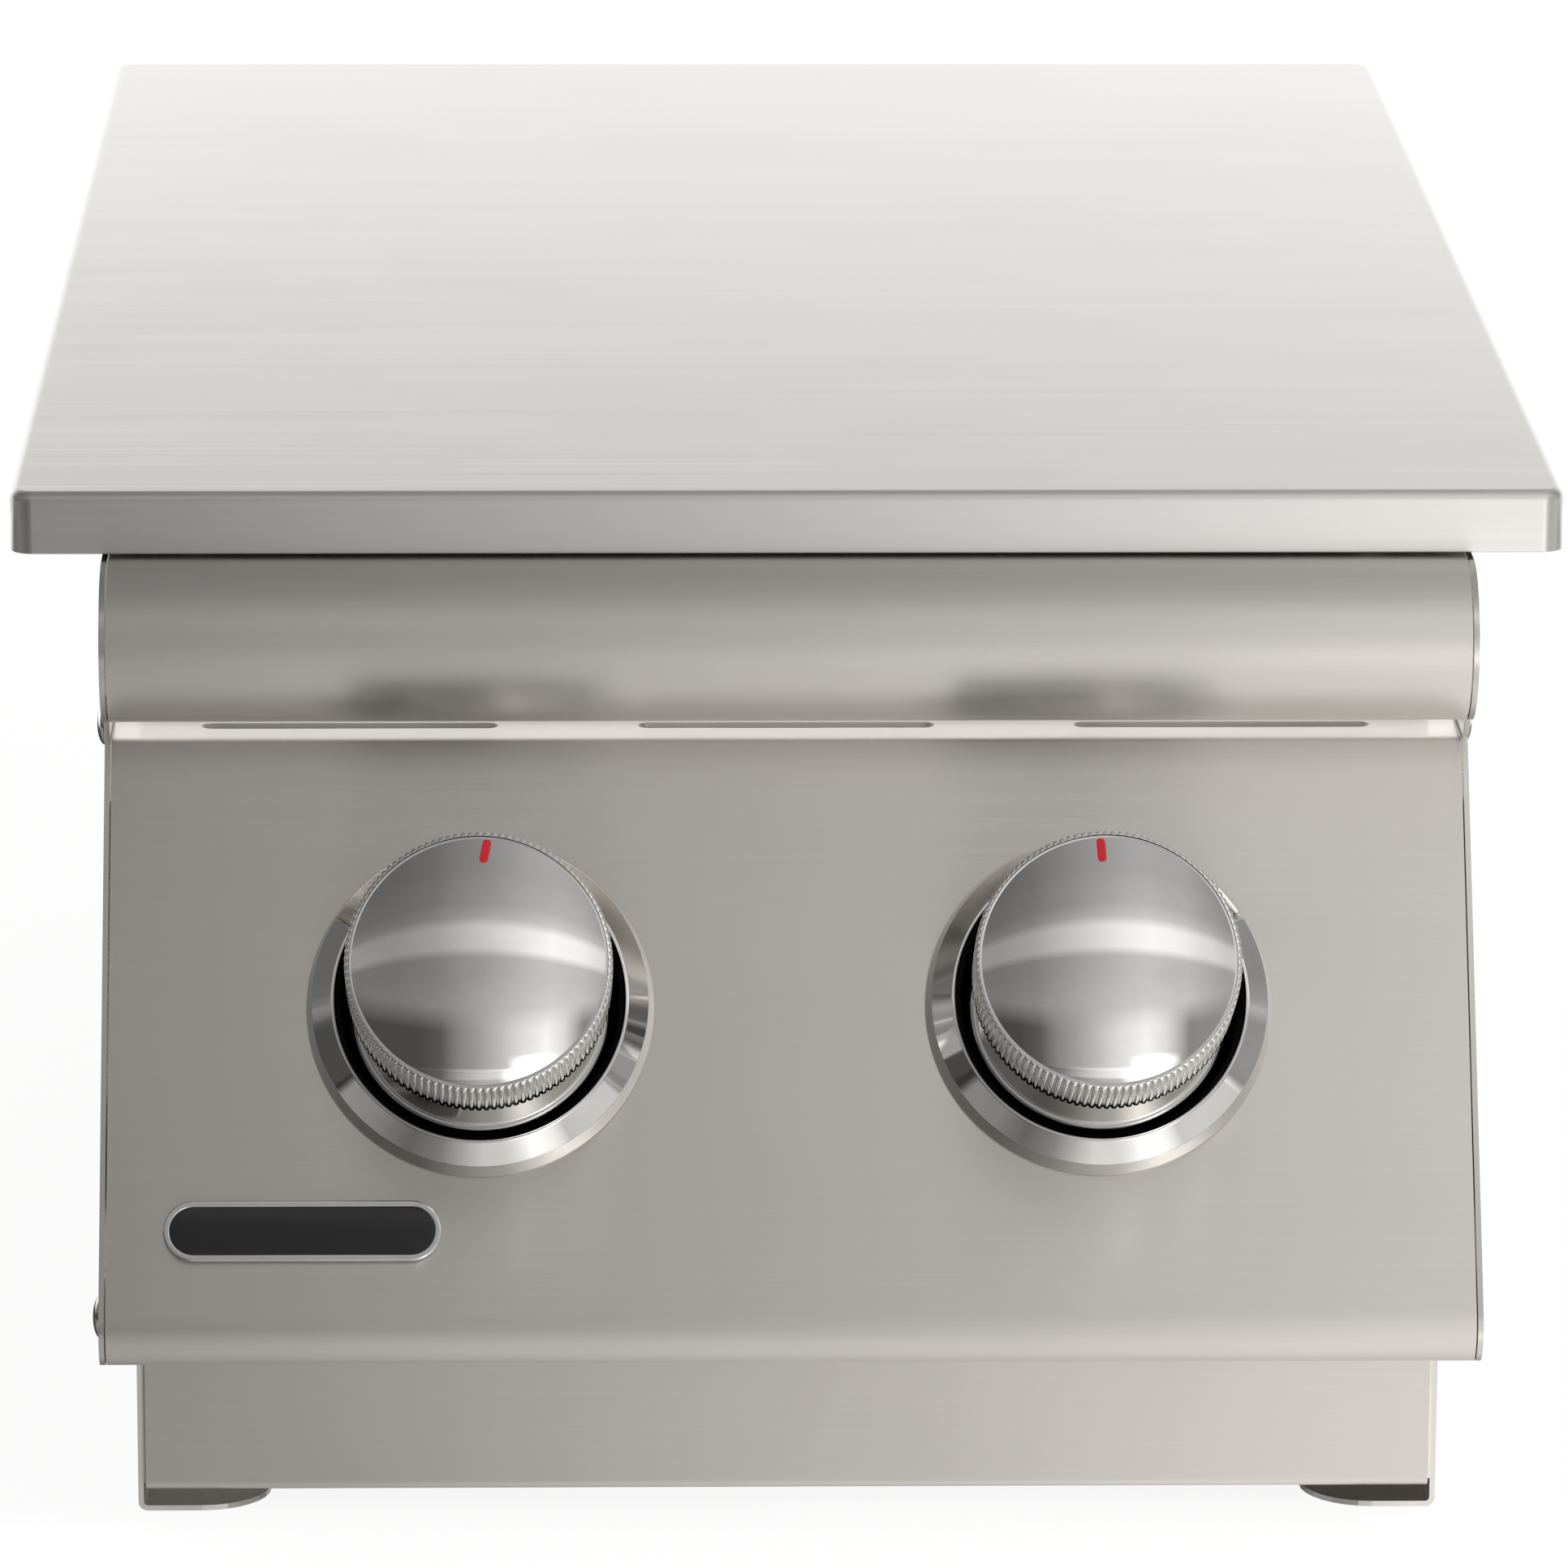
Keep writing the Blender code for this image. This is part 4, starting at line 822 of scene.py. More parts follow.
def add_piece(name: str, mesh: Mesh, body: str, finish: Finish, slot: str | None,
              *nodes: str) -> bpy.types.Object:
    """Put a finished mesh into the scene.

    Args:
        name: the piece's name.
        mesh: its mesh, in place.
        body: the body that it rides on.
        finish: its finish.
        slot: the record's material slot, if it has one.
        nodes: nodes that it stands for.

    Returns:
        The piece.
    """
    mesh.materials.clear()
    mesh.materials.append(finish.material())
    piece = bpy.data.objects.new(name, mesh)
    bpy.context.scene.collection.objects.link(piece)
    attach(piece, body)
    if nodes:
        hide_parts(*nodes)
        low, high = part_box(nodes[0])
        points = np.empty(len(mesh.vertices) * 3, np.float32)
        mesh.vertices.foreach_get("co", points)
        points = points.reshape(-1, 3)
        off = max(np.abs(points.min(0) - low).max(), np.abs(points.max(0) - high).max())
        LOG.info("%s stands for %s, box within %.2f mm", name, ", ".join(nodes), off * 1000)
    else:
        LOG.info("%s added on %s", name, body)
    return piece


def along(outline: Array, start: float, end: float, axis: str = "X") -> Array:
    """Flat outline carried straight along an axis: (a, b) becomes (s, a, b), (a, s, b) or (a, b, s).

    Args:
        outline: points, (n, 2).
        start: where it begins along the axis.
        end: where it ends.
        axis: "X", "Y" or "Z".

    Returns:
        Grid of points, (2, n, 3).
    """
    at = "XYZ".index(axis)
    flat = np.broadcast_to(outline, (2, *outline.shape))
    ends = np.broadcast_to(np.array([start, end])[:, None, None], (2, len(outline), 1))
    return np.concatenate([flat[..., :at], ends, flat[..., at:]], axis=-1)


def extruded(outline: Array, start: float, end: float, axis: str, name: str) -> Mesh:
    """Closed mesh of a flat outline carried straight along an axis, as along takes them."""
    return Surface().add(along(outline, start, end, axis), capped=True).mesh(name)


def turned(profile: Array, sides: int, frame: Array, name: str, ring: bool = False,
           capped: bool = False) -> Mesh:
    """Mesh of a profile turned about a frame's local Z.

    Args:
        profile: rows of (radius, height).
        sides: chords round the axis.
        frame: where it stands, 4 x 4.
        name: the mesh's name.
        ring: whether the profile's last row joins its first.
        capped: whether its first and last rows are closed by flat faces.

    Returns:
        The mesh.
    """
    return Surface().add(placed(lathe(profile, sides), frame), ring=ring, capped=capped).mesh(name)


def spun(reach: Array, height: Array, turn: Array) -> Array:
    """Grid of points at a reach from local Z, (rows, turns, 3), from one height for each row."""
    level = np.broadcast_to(height, reach.shape)
    return np.stack([reach * np.cos(turn), reach * np.sin(turn), level], axis=-1)


def tray(half: Sequence[float], levels: Array, middle_y: float, steps: int = 12) -> Array:
    """Rounded rectangle carried through levels: each ring is the outline moved in, at its own height.

    Args:
        half: half sizes (x, y) at no inset.
        levels: rows of (inset, height, corner radius).
        middle_y: where the outline is centred in Y.
        steps: chords of each corner.

    Returns:
        Grid of points, (levels, ring, 3).
    """
    rings = [rounded_rectangle(np.asarray(half) - inset, radius, steps) for inset, _, radius in levels]
    heights = np.broadcast_to(levels[:, 1][:, None, None], (len(levels), len(rings[0]), 1))
    return np.concatenate([np.stack(rings) + (0.0, middle_y), heights], axis=-1)


def fluted(profile: Array, flutes: int, samples: int) -> Array:
    """Profile of (radius, height, ridge) turned about local Z with round ridges standing out of it.

    The radius is r + a sqrt(1 - u^2), where a is the row's ridge and u runs from -1 to 1 across each flute.

    Args:
        profile: (n, 3).
        flutes: ridges round the axis.
        samples: points across each ridge.

    Returns:
        Grid of points, (n, flutes x samples, 3).
    """
    column = np.arange(flutes * samples)
    t = column * 2 * pi / len(column)
    ridge = np.sqrt(1 - (column % samples / samples * 2 - 1) ** 2)
    return spun(profile[:, :1] + profile[:, 2:] * ridge, profile[:, 1:2], t)


@dataclass
class Lid:
    """Flat lift-off tray with a turned-down lip and ground round corners."""

    corner: float = 0.005
    edge: float = 0.0003
    reach: float = 0.030

    def build(self) -> None:
        """Carry the sheet's section (inset, height) round the lid's outline."""
        top, low, sheet = LAYOUT.lid_top_z, LAYOUT.lip_z, LAYOUT.sheet
        section = bend_path([
            (self.reach, top - sheet),
            (sheet, top - sheet, LAYOUT.bend - sheet),
            (sheet, low, self.edge),
            (0.0, low, self.edge),
            (0.0, top, LAYOUT.bend),
            (self.reach, top),
        ], 8, hold=0.0002)
        radius = np.maximum(self.corner - section[:, 0], 0.0004)
        half = (LAYOUT.lid_width / 2, LAYOUT.lid_depth / 2)
        grid = tray(half, np.column_stack([section, radius]), LAYOUT.lid_middle_y)
        add_piece("lid_tray", Surface().add(grid, capped=True).mesh("lid_tray"), "lid", STEEL_LID,
                  "brushed_steel", "lid")


@dataclass
class FrontSheets:
    """Sheets across the front: half-round edge, slotted and sloped panel, end cheeks, lower front."""

    bend_steps: int = 24
    nose_return: float = 0.018
    roll_return: float = 0.058
    slot_length: float = 0.0655
    slot_width: float = 0.0050
    slot_pitch: float = 0.09639
    slot_inset: float = 0.0115
    hole_radius: float = 0.0075
    front_width: float = 0.2834
    front_setback: float = 0.0336
    front_clearance: float = 0.0050
    front_return: float = 0.014
    front_hem: float = 0.006
    flange_width: float = 0.013
    flange_margin: float = 0.020

    def build(self) -> None:
        """Build all the sheets."""
        self.half_round_edge()
        self.sloped_panel()
        self.lower_front()
        for side in Side:
            self.cheek(side)

    def swept(self, name: str, path: Array, half_width: float) -> Mesh:
        """Mesh of a bent sheet's section (y, z) carried across the front."""
        return extruded(sheet_outline(path, LAYOUT.sheet), -half_width, half_width, "X", name)

    def half_round_edge(self) -> None:
        """Section: a flat plate, a half circle forward and under, and a short return."""
        radius, front, top = LAYOUT.nose_radius, LAYOUT.nose_y, LAYOUT.deck_z
        path = bend_path([
            (LAYOUT.cheek_back_y - LAYOUT.running_gap, top),
            (front, top, radius),
            (front, top - 2 * radius, radius),
            (front + radius + self.nose_return, top - 2 * radius),
        ], 2 * self.bend_steps, hold=0.0)
        mesh = self.swept("half_round_edge", path, LAYOUT.panel_half)
        add_piece("half_round_edge", mesh, "body", STEEL_NOSE, "brushed_steel", "front_bullnose")

    def sloped_panel(self) -> None:
        """Section: ledge, sharp bend, sloped face and roll; the slots and stem holes are cut out of it."""
        bend, centre, radius = LAYOUT.bend_point, LAYOUT.roll_centre, LAYOUT.roll_radius
        tangent = radius * tan((pi / 2 + LAYOUT.lean) / 2)
        path = bend_path([
            (bend[0] + LAYOUT.ledge_depth, bend[1]),
            (bend[0], bend[1], LAYOUT.bend),
            (*(LAYOUT.face_end + LAYOUT.face_down * tangent), radius),
            (centre[0] + self.roll_return, centre[1] - radius),
        ], self.bend_steps)
        mesh = self.swept("sloped_panel", path, LAYOUT.panel_half)
        sheet = LAYOUT.sheet
        slot = stadium(self.slot_length, self.slot_width) + (0.0, bend[0] + self.slot_inset)
        low, high = bend[1] - 2 * sheet, bend[1] + sheet
        cutters = [
            extruded(slot + (index * self.slot_pitch, 0.0), low, high, "Z", "slot_cutter")
            for index in (-1, 0, 1)
        ]
        drill = np.array([(self.hole_radius, -2 * sheet), (self.hole_radius, sheet)])
        cutters += [turned(drill, 48, LAYOUT.knob_frame(side), "stem_cutter", capped=True) for side in Side]
        add_piece("sloped_panel", carved(mesh, cutters), "body", STEEL_X, "brushed_steel", "control_panel")

    def lower_front(self) -> None:
        """Section: a top return, a flat front and a bottom hem."""
        centre, radius = LAYOUT.roll_centre, LAYOUT.roll_radius
        face, top = centre[0] - radius + self.front_setback, centre[1] - radius - LAYOUT.seat_gap
        path = bend_path([
            (face + self.front_return, top),
            (face, top, LAYOUT.bend),
            (face, self.front_clearance, LAYOUT.bend),
            (face + self.front_hem, self.front_clearance),
        ], self.bend_steps // 2)
        mesh = self.swept("lower_front_sheet", path, self.front_width / 2)
        add_piece("lower_front_sheet", mesh, "body", STEEL_X, "brushed_steel", "lower_front_panel")

    def cheek(self, side: Side) -> None:
        """Flat end plate: roll, face and half-round nose as one outline, with a flange at its back."""
        radius, nose = LAYOUT.roll_radius, LAYOUT.nose_radius
        centre, back = LAYOUT.roll_centre, LAYOUT.cheek_back_y
        low, ledge = centre[1] - radius, LAYOUT.bend_point[1]
        outline = np.concatenate([
            [(back, low)],
            arc(centre, radius, -pi / 2, -pi - LAYOUT.lean, self.bend_steps),
            [LAYOUT.bend_point],
            arc((LAYOUT.nose_y + nose, LAYOUT.nose_height), nose, 3 * pi / 2, pi / 2, 2 * self.bend_steps),
            [(back, LAYOUT.deck_z)],
        ])
        outer, sheet = side.value * LAYOUT.panel_width / 2, side.value * LAYOUT.sheet
        surface = Surface().add(along(outline, outer - sheet, outer), capped=True)
        inner = outer - side.value * self.flange_width
        middle, front = outer - sheet / 2, back - LAYOUT.sheet
        flange = np.array([(inner, front), (middle, front), (middle, back), (inner, back)])
        surface.add(along(flange, low + self.flange_margin, ledge - self.flange_margin, "Z"), capped=True)
        name = side.word + "_cheek"
        add_piece(name, surface.mesh(name), "body", STEEL_CHEEK, "brushed_steel", side.word + "_end_plate")


@dataclass
class CheekBolts:
    """Low round bolt heads on the outside of the cheeks."""

    radius: float = 0.0047
    height: float = 0.0020
    lower_setback: float = 0.0145
    upper_setback: float = 0.0140
    skirt_share: float = 0.15

    def build(self) -> None:
        """Turn a head of quarter-ellipse section, with a short straight skirt, at each of the four places."""
        angle = np.linspace(0, pi / 2, 14)
        rise = self.skirt_share + (1 - self.skirt_share) * np.sin(angle)
        dome = np.column_stack([self.radius * np.cos(angle), self.height * rise])
        profile = np.concatenate([[(0.0, 0.0), (self.radius, 0.0)], dome])
        profile[-1, 0] = 0.0
        centre, bend = LAYOUT.roll_centre, LAYOUT.bend_point
        low = centre[1] - LAYOUT.roll_radius + self.radius + LAYOUT.sheet
        places = {
            "upper": (bend[0] + self.upper_setback, bend[1]),
            "lower": (centre[0] + self.lower_setback, low),
        }
        for side in Side:
            x = side.value * (LAYOUT.panel_width / 2 + LAYOUT.seat_gap)
            for level, spot in places.items():
                name = f"{side.word}_{level}_bolt_head"
                mesh = turned(profile, 40, facing("X", (x, *spot), side.value), name)
                add_piece(name, mesh, "body", BRIGHT_BOLT, "chrome", f"{side.word}_{level}_bolt")


@dataclass
class Badge:
    """Bare round-ended plate low on the left of the sloped face: bright rim round black enamel."""

    length: float = 0.0603
    width: float = 0.0134
    thickness: float = 0.0014
    rim: float = 0.0014
    outer_round: float = 0.0004
    inner_round: float = 0.0003
    enamel_drop: float = 0.0003
    crown_rise: float = 0.0001
    crown_share: float = 1.4
    inset: float = 0.0440
    rise: float = 0.0184

    def ring(self, inset: float, height: float) -> Array:
        """Slot-shaped ring moved in by an inset, at a height."""
        outline = stadium(self.length - 2 * inset, self.width - 2 * inset)
        return np.column_stack([outline, np.full(len(outline), height)])

    def build(self) -> None:
        """Carry the rim's section round the slot shape, and set a crowned enamel face inside it."""
        frame = LAYOUT.face_frame(-LAYOUT.panel_width / 2 + self.inset, LAYOUT.face_length - self.rise)
        low, top = LAYOUT.seat_gap, LAYOUT.seat_gap + self.thickness
        section = bend_path([
            (0.0, low), (0.0, top, self.outer_round), (self.rim, top, self.inner_round), (self.rim, low),
        ], 6, hold=0.0001)
        grid = np.stack([self.ring(inset, height) for inset, height in section])
        mesh = Surface().add(placed(grid, frame), ring=True).mesh("badge_rim")
        add_piece("badge_rim", mesh, "body", BRIGHT_RIM, "chrome", "badge_plate")
        level = top - self.enamel_drop
        steps = [(self.rim, low), (self.rim, level), (self.rim * self.crown_share, level + self.crown_rise)]
        grid = np.stack([self.ring(inset, height) for inset, height in steps])
        mesh = Surface().add(placed(grid, frame), capped=True).mesh("badge_face")
        add_piece("badge_face", mesh, "body", ENAMEL, "badge_enamel")


@dataclass
class Knob:
    """Domed knob with a knurled band, its pointer, and the dished bezel that it sits in."""

    side: Side
    pointer_turn: float
    pointer_skew: float
    radius: float = 0.0288
    height: float = 0.0420
    skirt: float = 0.0061
    wall: float = 0.0026
    flare: float = 0.0018
    flare_rise: float = 0.0044
    knurl_height: float = 0.0180
    ridge: float = 0.0006
    flutes: int = 110
    flute_samples: int = 6
    shell_sharp: float = 42.0
    edge: float = 0.0004
    knurl_start: float = 0.0009
    shoulder_width: float = 0.0004
    shoulder_drop: float = 0.0008
    rim_width: float = 0.00050
    rim_drop: float = 0.0002
    groove_width: float = 0.00045
    groove_floor: float = 0.00010
    groove_depth: float = 0.0011
    dome_radius: float = 0.0272
    dome_base: float = 0.0418
    dome_height: float = 0.0075
    dome_skirt: float = 0.0005
    hub_radius: float = 0.0083
    hub_bore: float = 0.0043
    hub_depth: float = 0.0200
    pointer_length: float = 0.0060
    pointer_width: float = 0.0019
    pointer_middle: float = 0.0240
    bezel_radius: float = 0.0380
    bezel_height: float = 0.0100
    bezel_opening: float = 0.0314
    ridge_inset: float = 0.2
    ridge_share: float = 0.56
    lip_inset: float = 0.05
    lip_share: float = 0.7
    lining: float = 0.00015
    lining_gap: float = 0.00005
    lining_height: float = 0.0012
    lining_margin: float = 0.0005
    bezel_hole: float = 0.0075

    @property
    def frame(self) -> Array:
        """The knob's frame on the sloped face."""
        return LAYOUT.knob_frame(self.side)

    def dome(self, radius: Array) -> Array:
        """Height of the dome over a radius: a sphere's cap, b + h - S + sqrt(S^2 - r^2)."""
        sphere = (self.dome_radius**2 + self.dome_height**2) / (2 * self.dome_height)
        return self.dome_base + self.dome_height - sphere + np.sqrt(sphere**2 - radius**2)

    def profile(self) -> Array:
        """Rows of (radius, height, ridge): hub, hollow, skirt, knurled band, rim, groove and dome."""
        base, band = self.radius - self.ridge, self.height - self.knurl_height
        foot = self.radius + self.flare
        hollow, roof = self.radius - self.wall, self.height - self.wall
        low, edge = self.skirt, self.edge
        inside = np.array([
            (self.hub_bore, low + self.hub_depth), (self.hub_bore, low), (self.hub_radius, low),
            (self.hub_radius, roof), (hollow, roof), (hollow, low + edge), (hollow + edge, low),
            (foot - edge, low), (foot, low + edge), (foot, low + self.flare_rise),
            (base, band - 2 * edge),
        ])
        a = np.linspace(0, pi / 2, 6)
        start = np.column_stack([
            np.full(6, base),
            band + self.knurl_start * (1 - np.cos(a)),
            self.ridge * np.sin(a),
        ])
        b = np.linspace(0, pi / 2, 8)
        head = np.column_stack([
            base - self.shoulder_width * (1 - np.cos(b)),
            self.height - self.shoulder_drop * (1 - np.sin(b)),
            self.ridge * np.cos(b),
        ])
        groove = self.height - self.groove_depth
        rim = np.array([
            (self.dome_radius + self.rim_width, self.height - self.rim_drop),
            (self.dome_radius + self.groove_width, groove),
            (self.dome_radius + self.groove_floor, groove),
            (self.dome_radius, self.dome_base - self.dome_skirt),
        ])
        across = self.dome_radius * np.cos(np.linspace(0, pi / 2, 32))
        across[-1] = 0.0
        dome = np.column_stack([across, self.dome(across)])
        plain = [np.column_stack([part, np.zeros(len(part))]) for part in (inside, rim, dome)]
        return np.concatenate([plain[0], start, head, plain[1], plain[2]])

    def build(self) -> None:
        """Build the knob, its pointer and its bezel."""
        word = self.side.word
        shell = word + "_knob_shell"
        grid = placed(fluted(self.profile(), self.flutes, self.flute_samples), self.frame)
        mesh = Surface().add(grid).mesh(shell, self.shell_sharp)
        add_piece(shell, mesh, word + "_turn", CHROME, "chrome", word + "_knob")
        add_piece(word + "_knob_pointer", self.pointer(), word + "_turn", POINTER_RED, None)
        add_piece(word + "_bezel_ring", self.bezel(), "body", CHROME, "chrome", word + "_bezel")
        # The sheet in the well is painted shade: near black where the knob shades the bezel's well.
        add_piece(word + "_well_lining", self.well(), "body", WELL_PAINTED_SHADE, None)

    def pointer(self) -> Mesh:
        """Round-ended strip on the dome: its flat outline lifted to the dome's height."""
        rings = [evenly(stadium(self.pointer_length - 2 * inset, self.pointer_width - 2 * inset, 8), 72)
                 for inset in (0.0, 0.0, 0.0002, 0.0005, 0.0008)]
        lift = np.array([-0.0003, 0.00005, 0.00012, 0.00014, 0.00015])
        flat = np.stack(rings)[..., ::-1]
        skew, turn = radians(self.pointer_skew), radians(self.pointer_turn)
        flat = flat @ np.array([(cos(skew), -sin(skew)), (sin(skew), cos(skew))]) + (0.0, self.pointer_middle)
        flat = flat @ np.array([(cos(turn), -sin(turn)), (sin(turn), cos(turn))])
        rise = self.dome(np.linalg.norm(flat, axis=-1)) + lift[:, None]
        grid = np.concatenate([flat, rise[..., None]], axis=-1)
        name = self.side.word + "_knob_pointer"
        return Surface().add(placed(grid, self.frame), capped=True).mesh(name, 60.0)

    def bezel(self) -> Mesh:
        """Turned ring: steep outer wall, small ridge, cone, rolled inner edge, well and pierced floor."""
        outer, opening, low = self.bezel_radius, self.bezel_opening, LAYOUT.seat_gap
        floor, width = low + LAYOUT.sheet, outer - opening
        section = bend_path([
            (self.bezel_hole, low),
            (outer, low, 0.0003),
            (outer - width * self.ridge_inset, self.bezel_height * self.ridge_share, 0.0003),
            (opening + width * self.lip_inset, self.bezel_height, 0.0005),
            (opening, self.bezel_height * self.lip_share, 0.0006),
            (opening, floor, 0.0004),
            (self.bezel_hole, floor),
        ], 8, hold=0.0001)
        return turned(section, 160, self.frame, self.side.word + "_bezel_ring", ring=True)

    def well(self) -> Mesh:
        """Thin dark lining of the bezel's well: a short sleeve low on its wall and a washer on its floor."""
        floor, wall = LAYOUT.seat_gap + LAYOUT.sheet, self.bezel_opening - self.lining_gap
        section = sheet_outline(np.array([
            (wall, floor + self.lining_height),
            (wall, floor + self.lining_gap),
            (self.bezel_hole + self.lining_margin, floor + self.lining_gap),
        ]), -self.lining)
        return turned(section, 160, self.frame, self.side.word + "_well_lining", ring=True)


@dataclass
class BurnerPan:
    """Pan with a raised hollow rim that the lid sits on, and the drip tray that lies on its ledge."""

    corner: float = 0.018
    lip_width: float = 0.0100
    ledge_width: float = 0.0100
    rim_bend: float = 0.0016
    tray_edge: float = 0.0025
    tray_reach: float = 0.060
    neck_hole: float = 0.0136
    spark_hole: float = 0.0040
    spark_x: float = 0.0460

    def build(self) -> None:
        """Build the pan and the tray."""
        self.pan()
        self.tray()

    def pan(self) -> None:
        """Carry the sheet's section (inset, height) round the rim: ledge, wall, rim and outer lip."""
        sheet, inner, rim = LAYOUT.sheet, LAYOUT.pan_rim_width, LAYOUT.pan_rim_z
        ledge = rim - LAYOUT.pan_depth - LAYOUT.seat_gap
        lip = LAYOUT.deck_z + 2 * sheet + LAYOUT.seat_gap
        edge = -sheet - LAYOUT.pan_gap - self.lip_width
        section = sheet_outline(bend_path([
            (inner + self.ledge_width, ledge),
            (inner, ledge, self.rim_bend),
            (inner, rim, self.rim_bend),
            (0.0, rim, self.rim_bend),
            (0.0, lip, self.rim_bend),
            (edge, lip),
        ], 8, hold=0.0003), sheet)
        radius = self.corner - np.maximum(section[:, 0], 0.0)
        grid = tray(LAYOUT.pan_rim_half, np.column_stack([section, radius]), LAYOUT.lid_middle_y)
        mesh = Surface().add(grid, ring=True).mesh("pan_shell")
        add_piece("pan_shell", mesh, "body", STEEL_PAN, "brushed_steel", "burner_pan")

    def tray(self) -> None:
        """Carry the tray's section (inset, height) round its outline, then pierce its floor."""
        sheet, inset = LAYOUT.sheet, LAYOUT.pan_rim_width + LAYOUT.running_gap
        floor = LAYOUT.pan_rim_z - LAYOUT.pan_depth
        edge = floor + self.tray_edge
        section = bend_path([
            (self.tray_reach, floor),
            (0.0, floor, 0.0012),
            (0.0, edge, 0.0003),
            (sheet, edge, 0.0003),
            (sheet, floor + sheet, 0.0004),
            (self.tray_reach, floor + sheet),
        ], 6, hold=0.0001)
        radius = np.maximum(self.corner - inset - section[:, 0], 0.002)
        grid = tray(LAYOUT.pan_rim_half - inset, np.column_stack([section, radius]), LAYOUT.lid_middle_y)
        mesh = Surface().add(grid, capped=True).mesh("drip_tray_sheet")
        holes = ((0.0, self.neck_hole), (self.spark_x, self.spark_hole))
        drills = [(place, x, np.array([(r, -sheet), (r, 2 * sheet)])) for place in Place for x, r in holes]
        cutters = [
            turned(drill, 48, facing("Z", (x, LAYOUT.burner_y(place), floor)), "tray_drill", capped=True)
            for place, x, drill in drills
        ]
        add_piece("drip_tray_sheet", carved(mesh, cutters), "body", STEEL_PAN, "brushed_steel", "drip_tray")


@dataclass
class Grate:
    """Welded rod grate: a round-cornered frame, bars from front to back, a cross bar and four legs."""

    place: Place
    rod: float = 0.0040
    leg: float = 0.0032
    clearance: float = 0.0020
    margin: float = 0.0050
    corner: float = 0.018
    bars: int = 5

    def build(self) -> None:
        """Run tubes along the frame, the bars and the legs."""
        y = LAYOUT.burner_y(self.place)
        z = LAYOUT.lid_top_z - LAYOUT.sheet - self.clearance - self.rod
        inner = LAYOUT.pan_rim_half - LAYOUT.pan_rim_width
        half = np.array([inner[0], inner[1] / 2]) - self.margin - self.rod
        ring = rounded_rectangle(half, self.corner, 12) + (0.0, y)
        frame = np.column_stack([ring, np.full(len(ring), z)])
        surface = Surface().add(tube(frame, self.rod, 20, (0, 0, 1), closed=True), ring=True)
        places = (np.arange(1, self.bars + 1) / (self.bars + 1) - 0.5) * 2 * half[0]
        runs = [((x, y - half[1], z), (x, y + half[1], z), self.rod, (0, 0, 1)) for x in places]
        runs.append(((-half[0], y, z), (half[0], y, z), self.rod, (0, 0, 1)))
        for across in (-half[0], half[0]):
            for off in (self.corner - half[1], half[1] - self.corner):
                runs.append(((across, y + off, z), (across, y + off, LAYOUT.pan_seat_z), self.leg, (0, 1, 0)))
        for start, end, radius, across in runs:
            surface.add(tube(np.array([start, end]), radius, 20, across), capped=True)
        name = self.place.value + "_grate_rods"
        add_piece(name, surface.mesh(name), "body", GRATE_ROD, "grate_steel", self.place.value + "_grate")


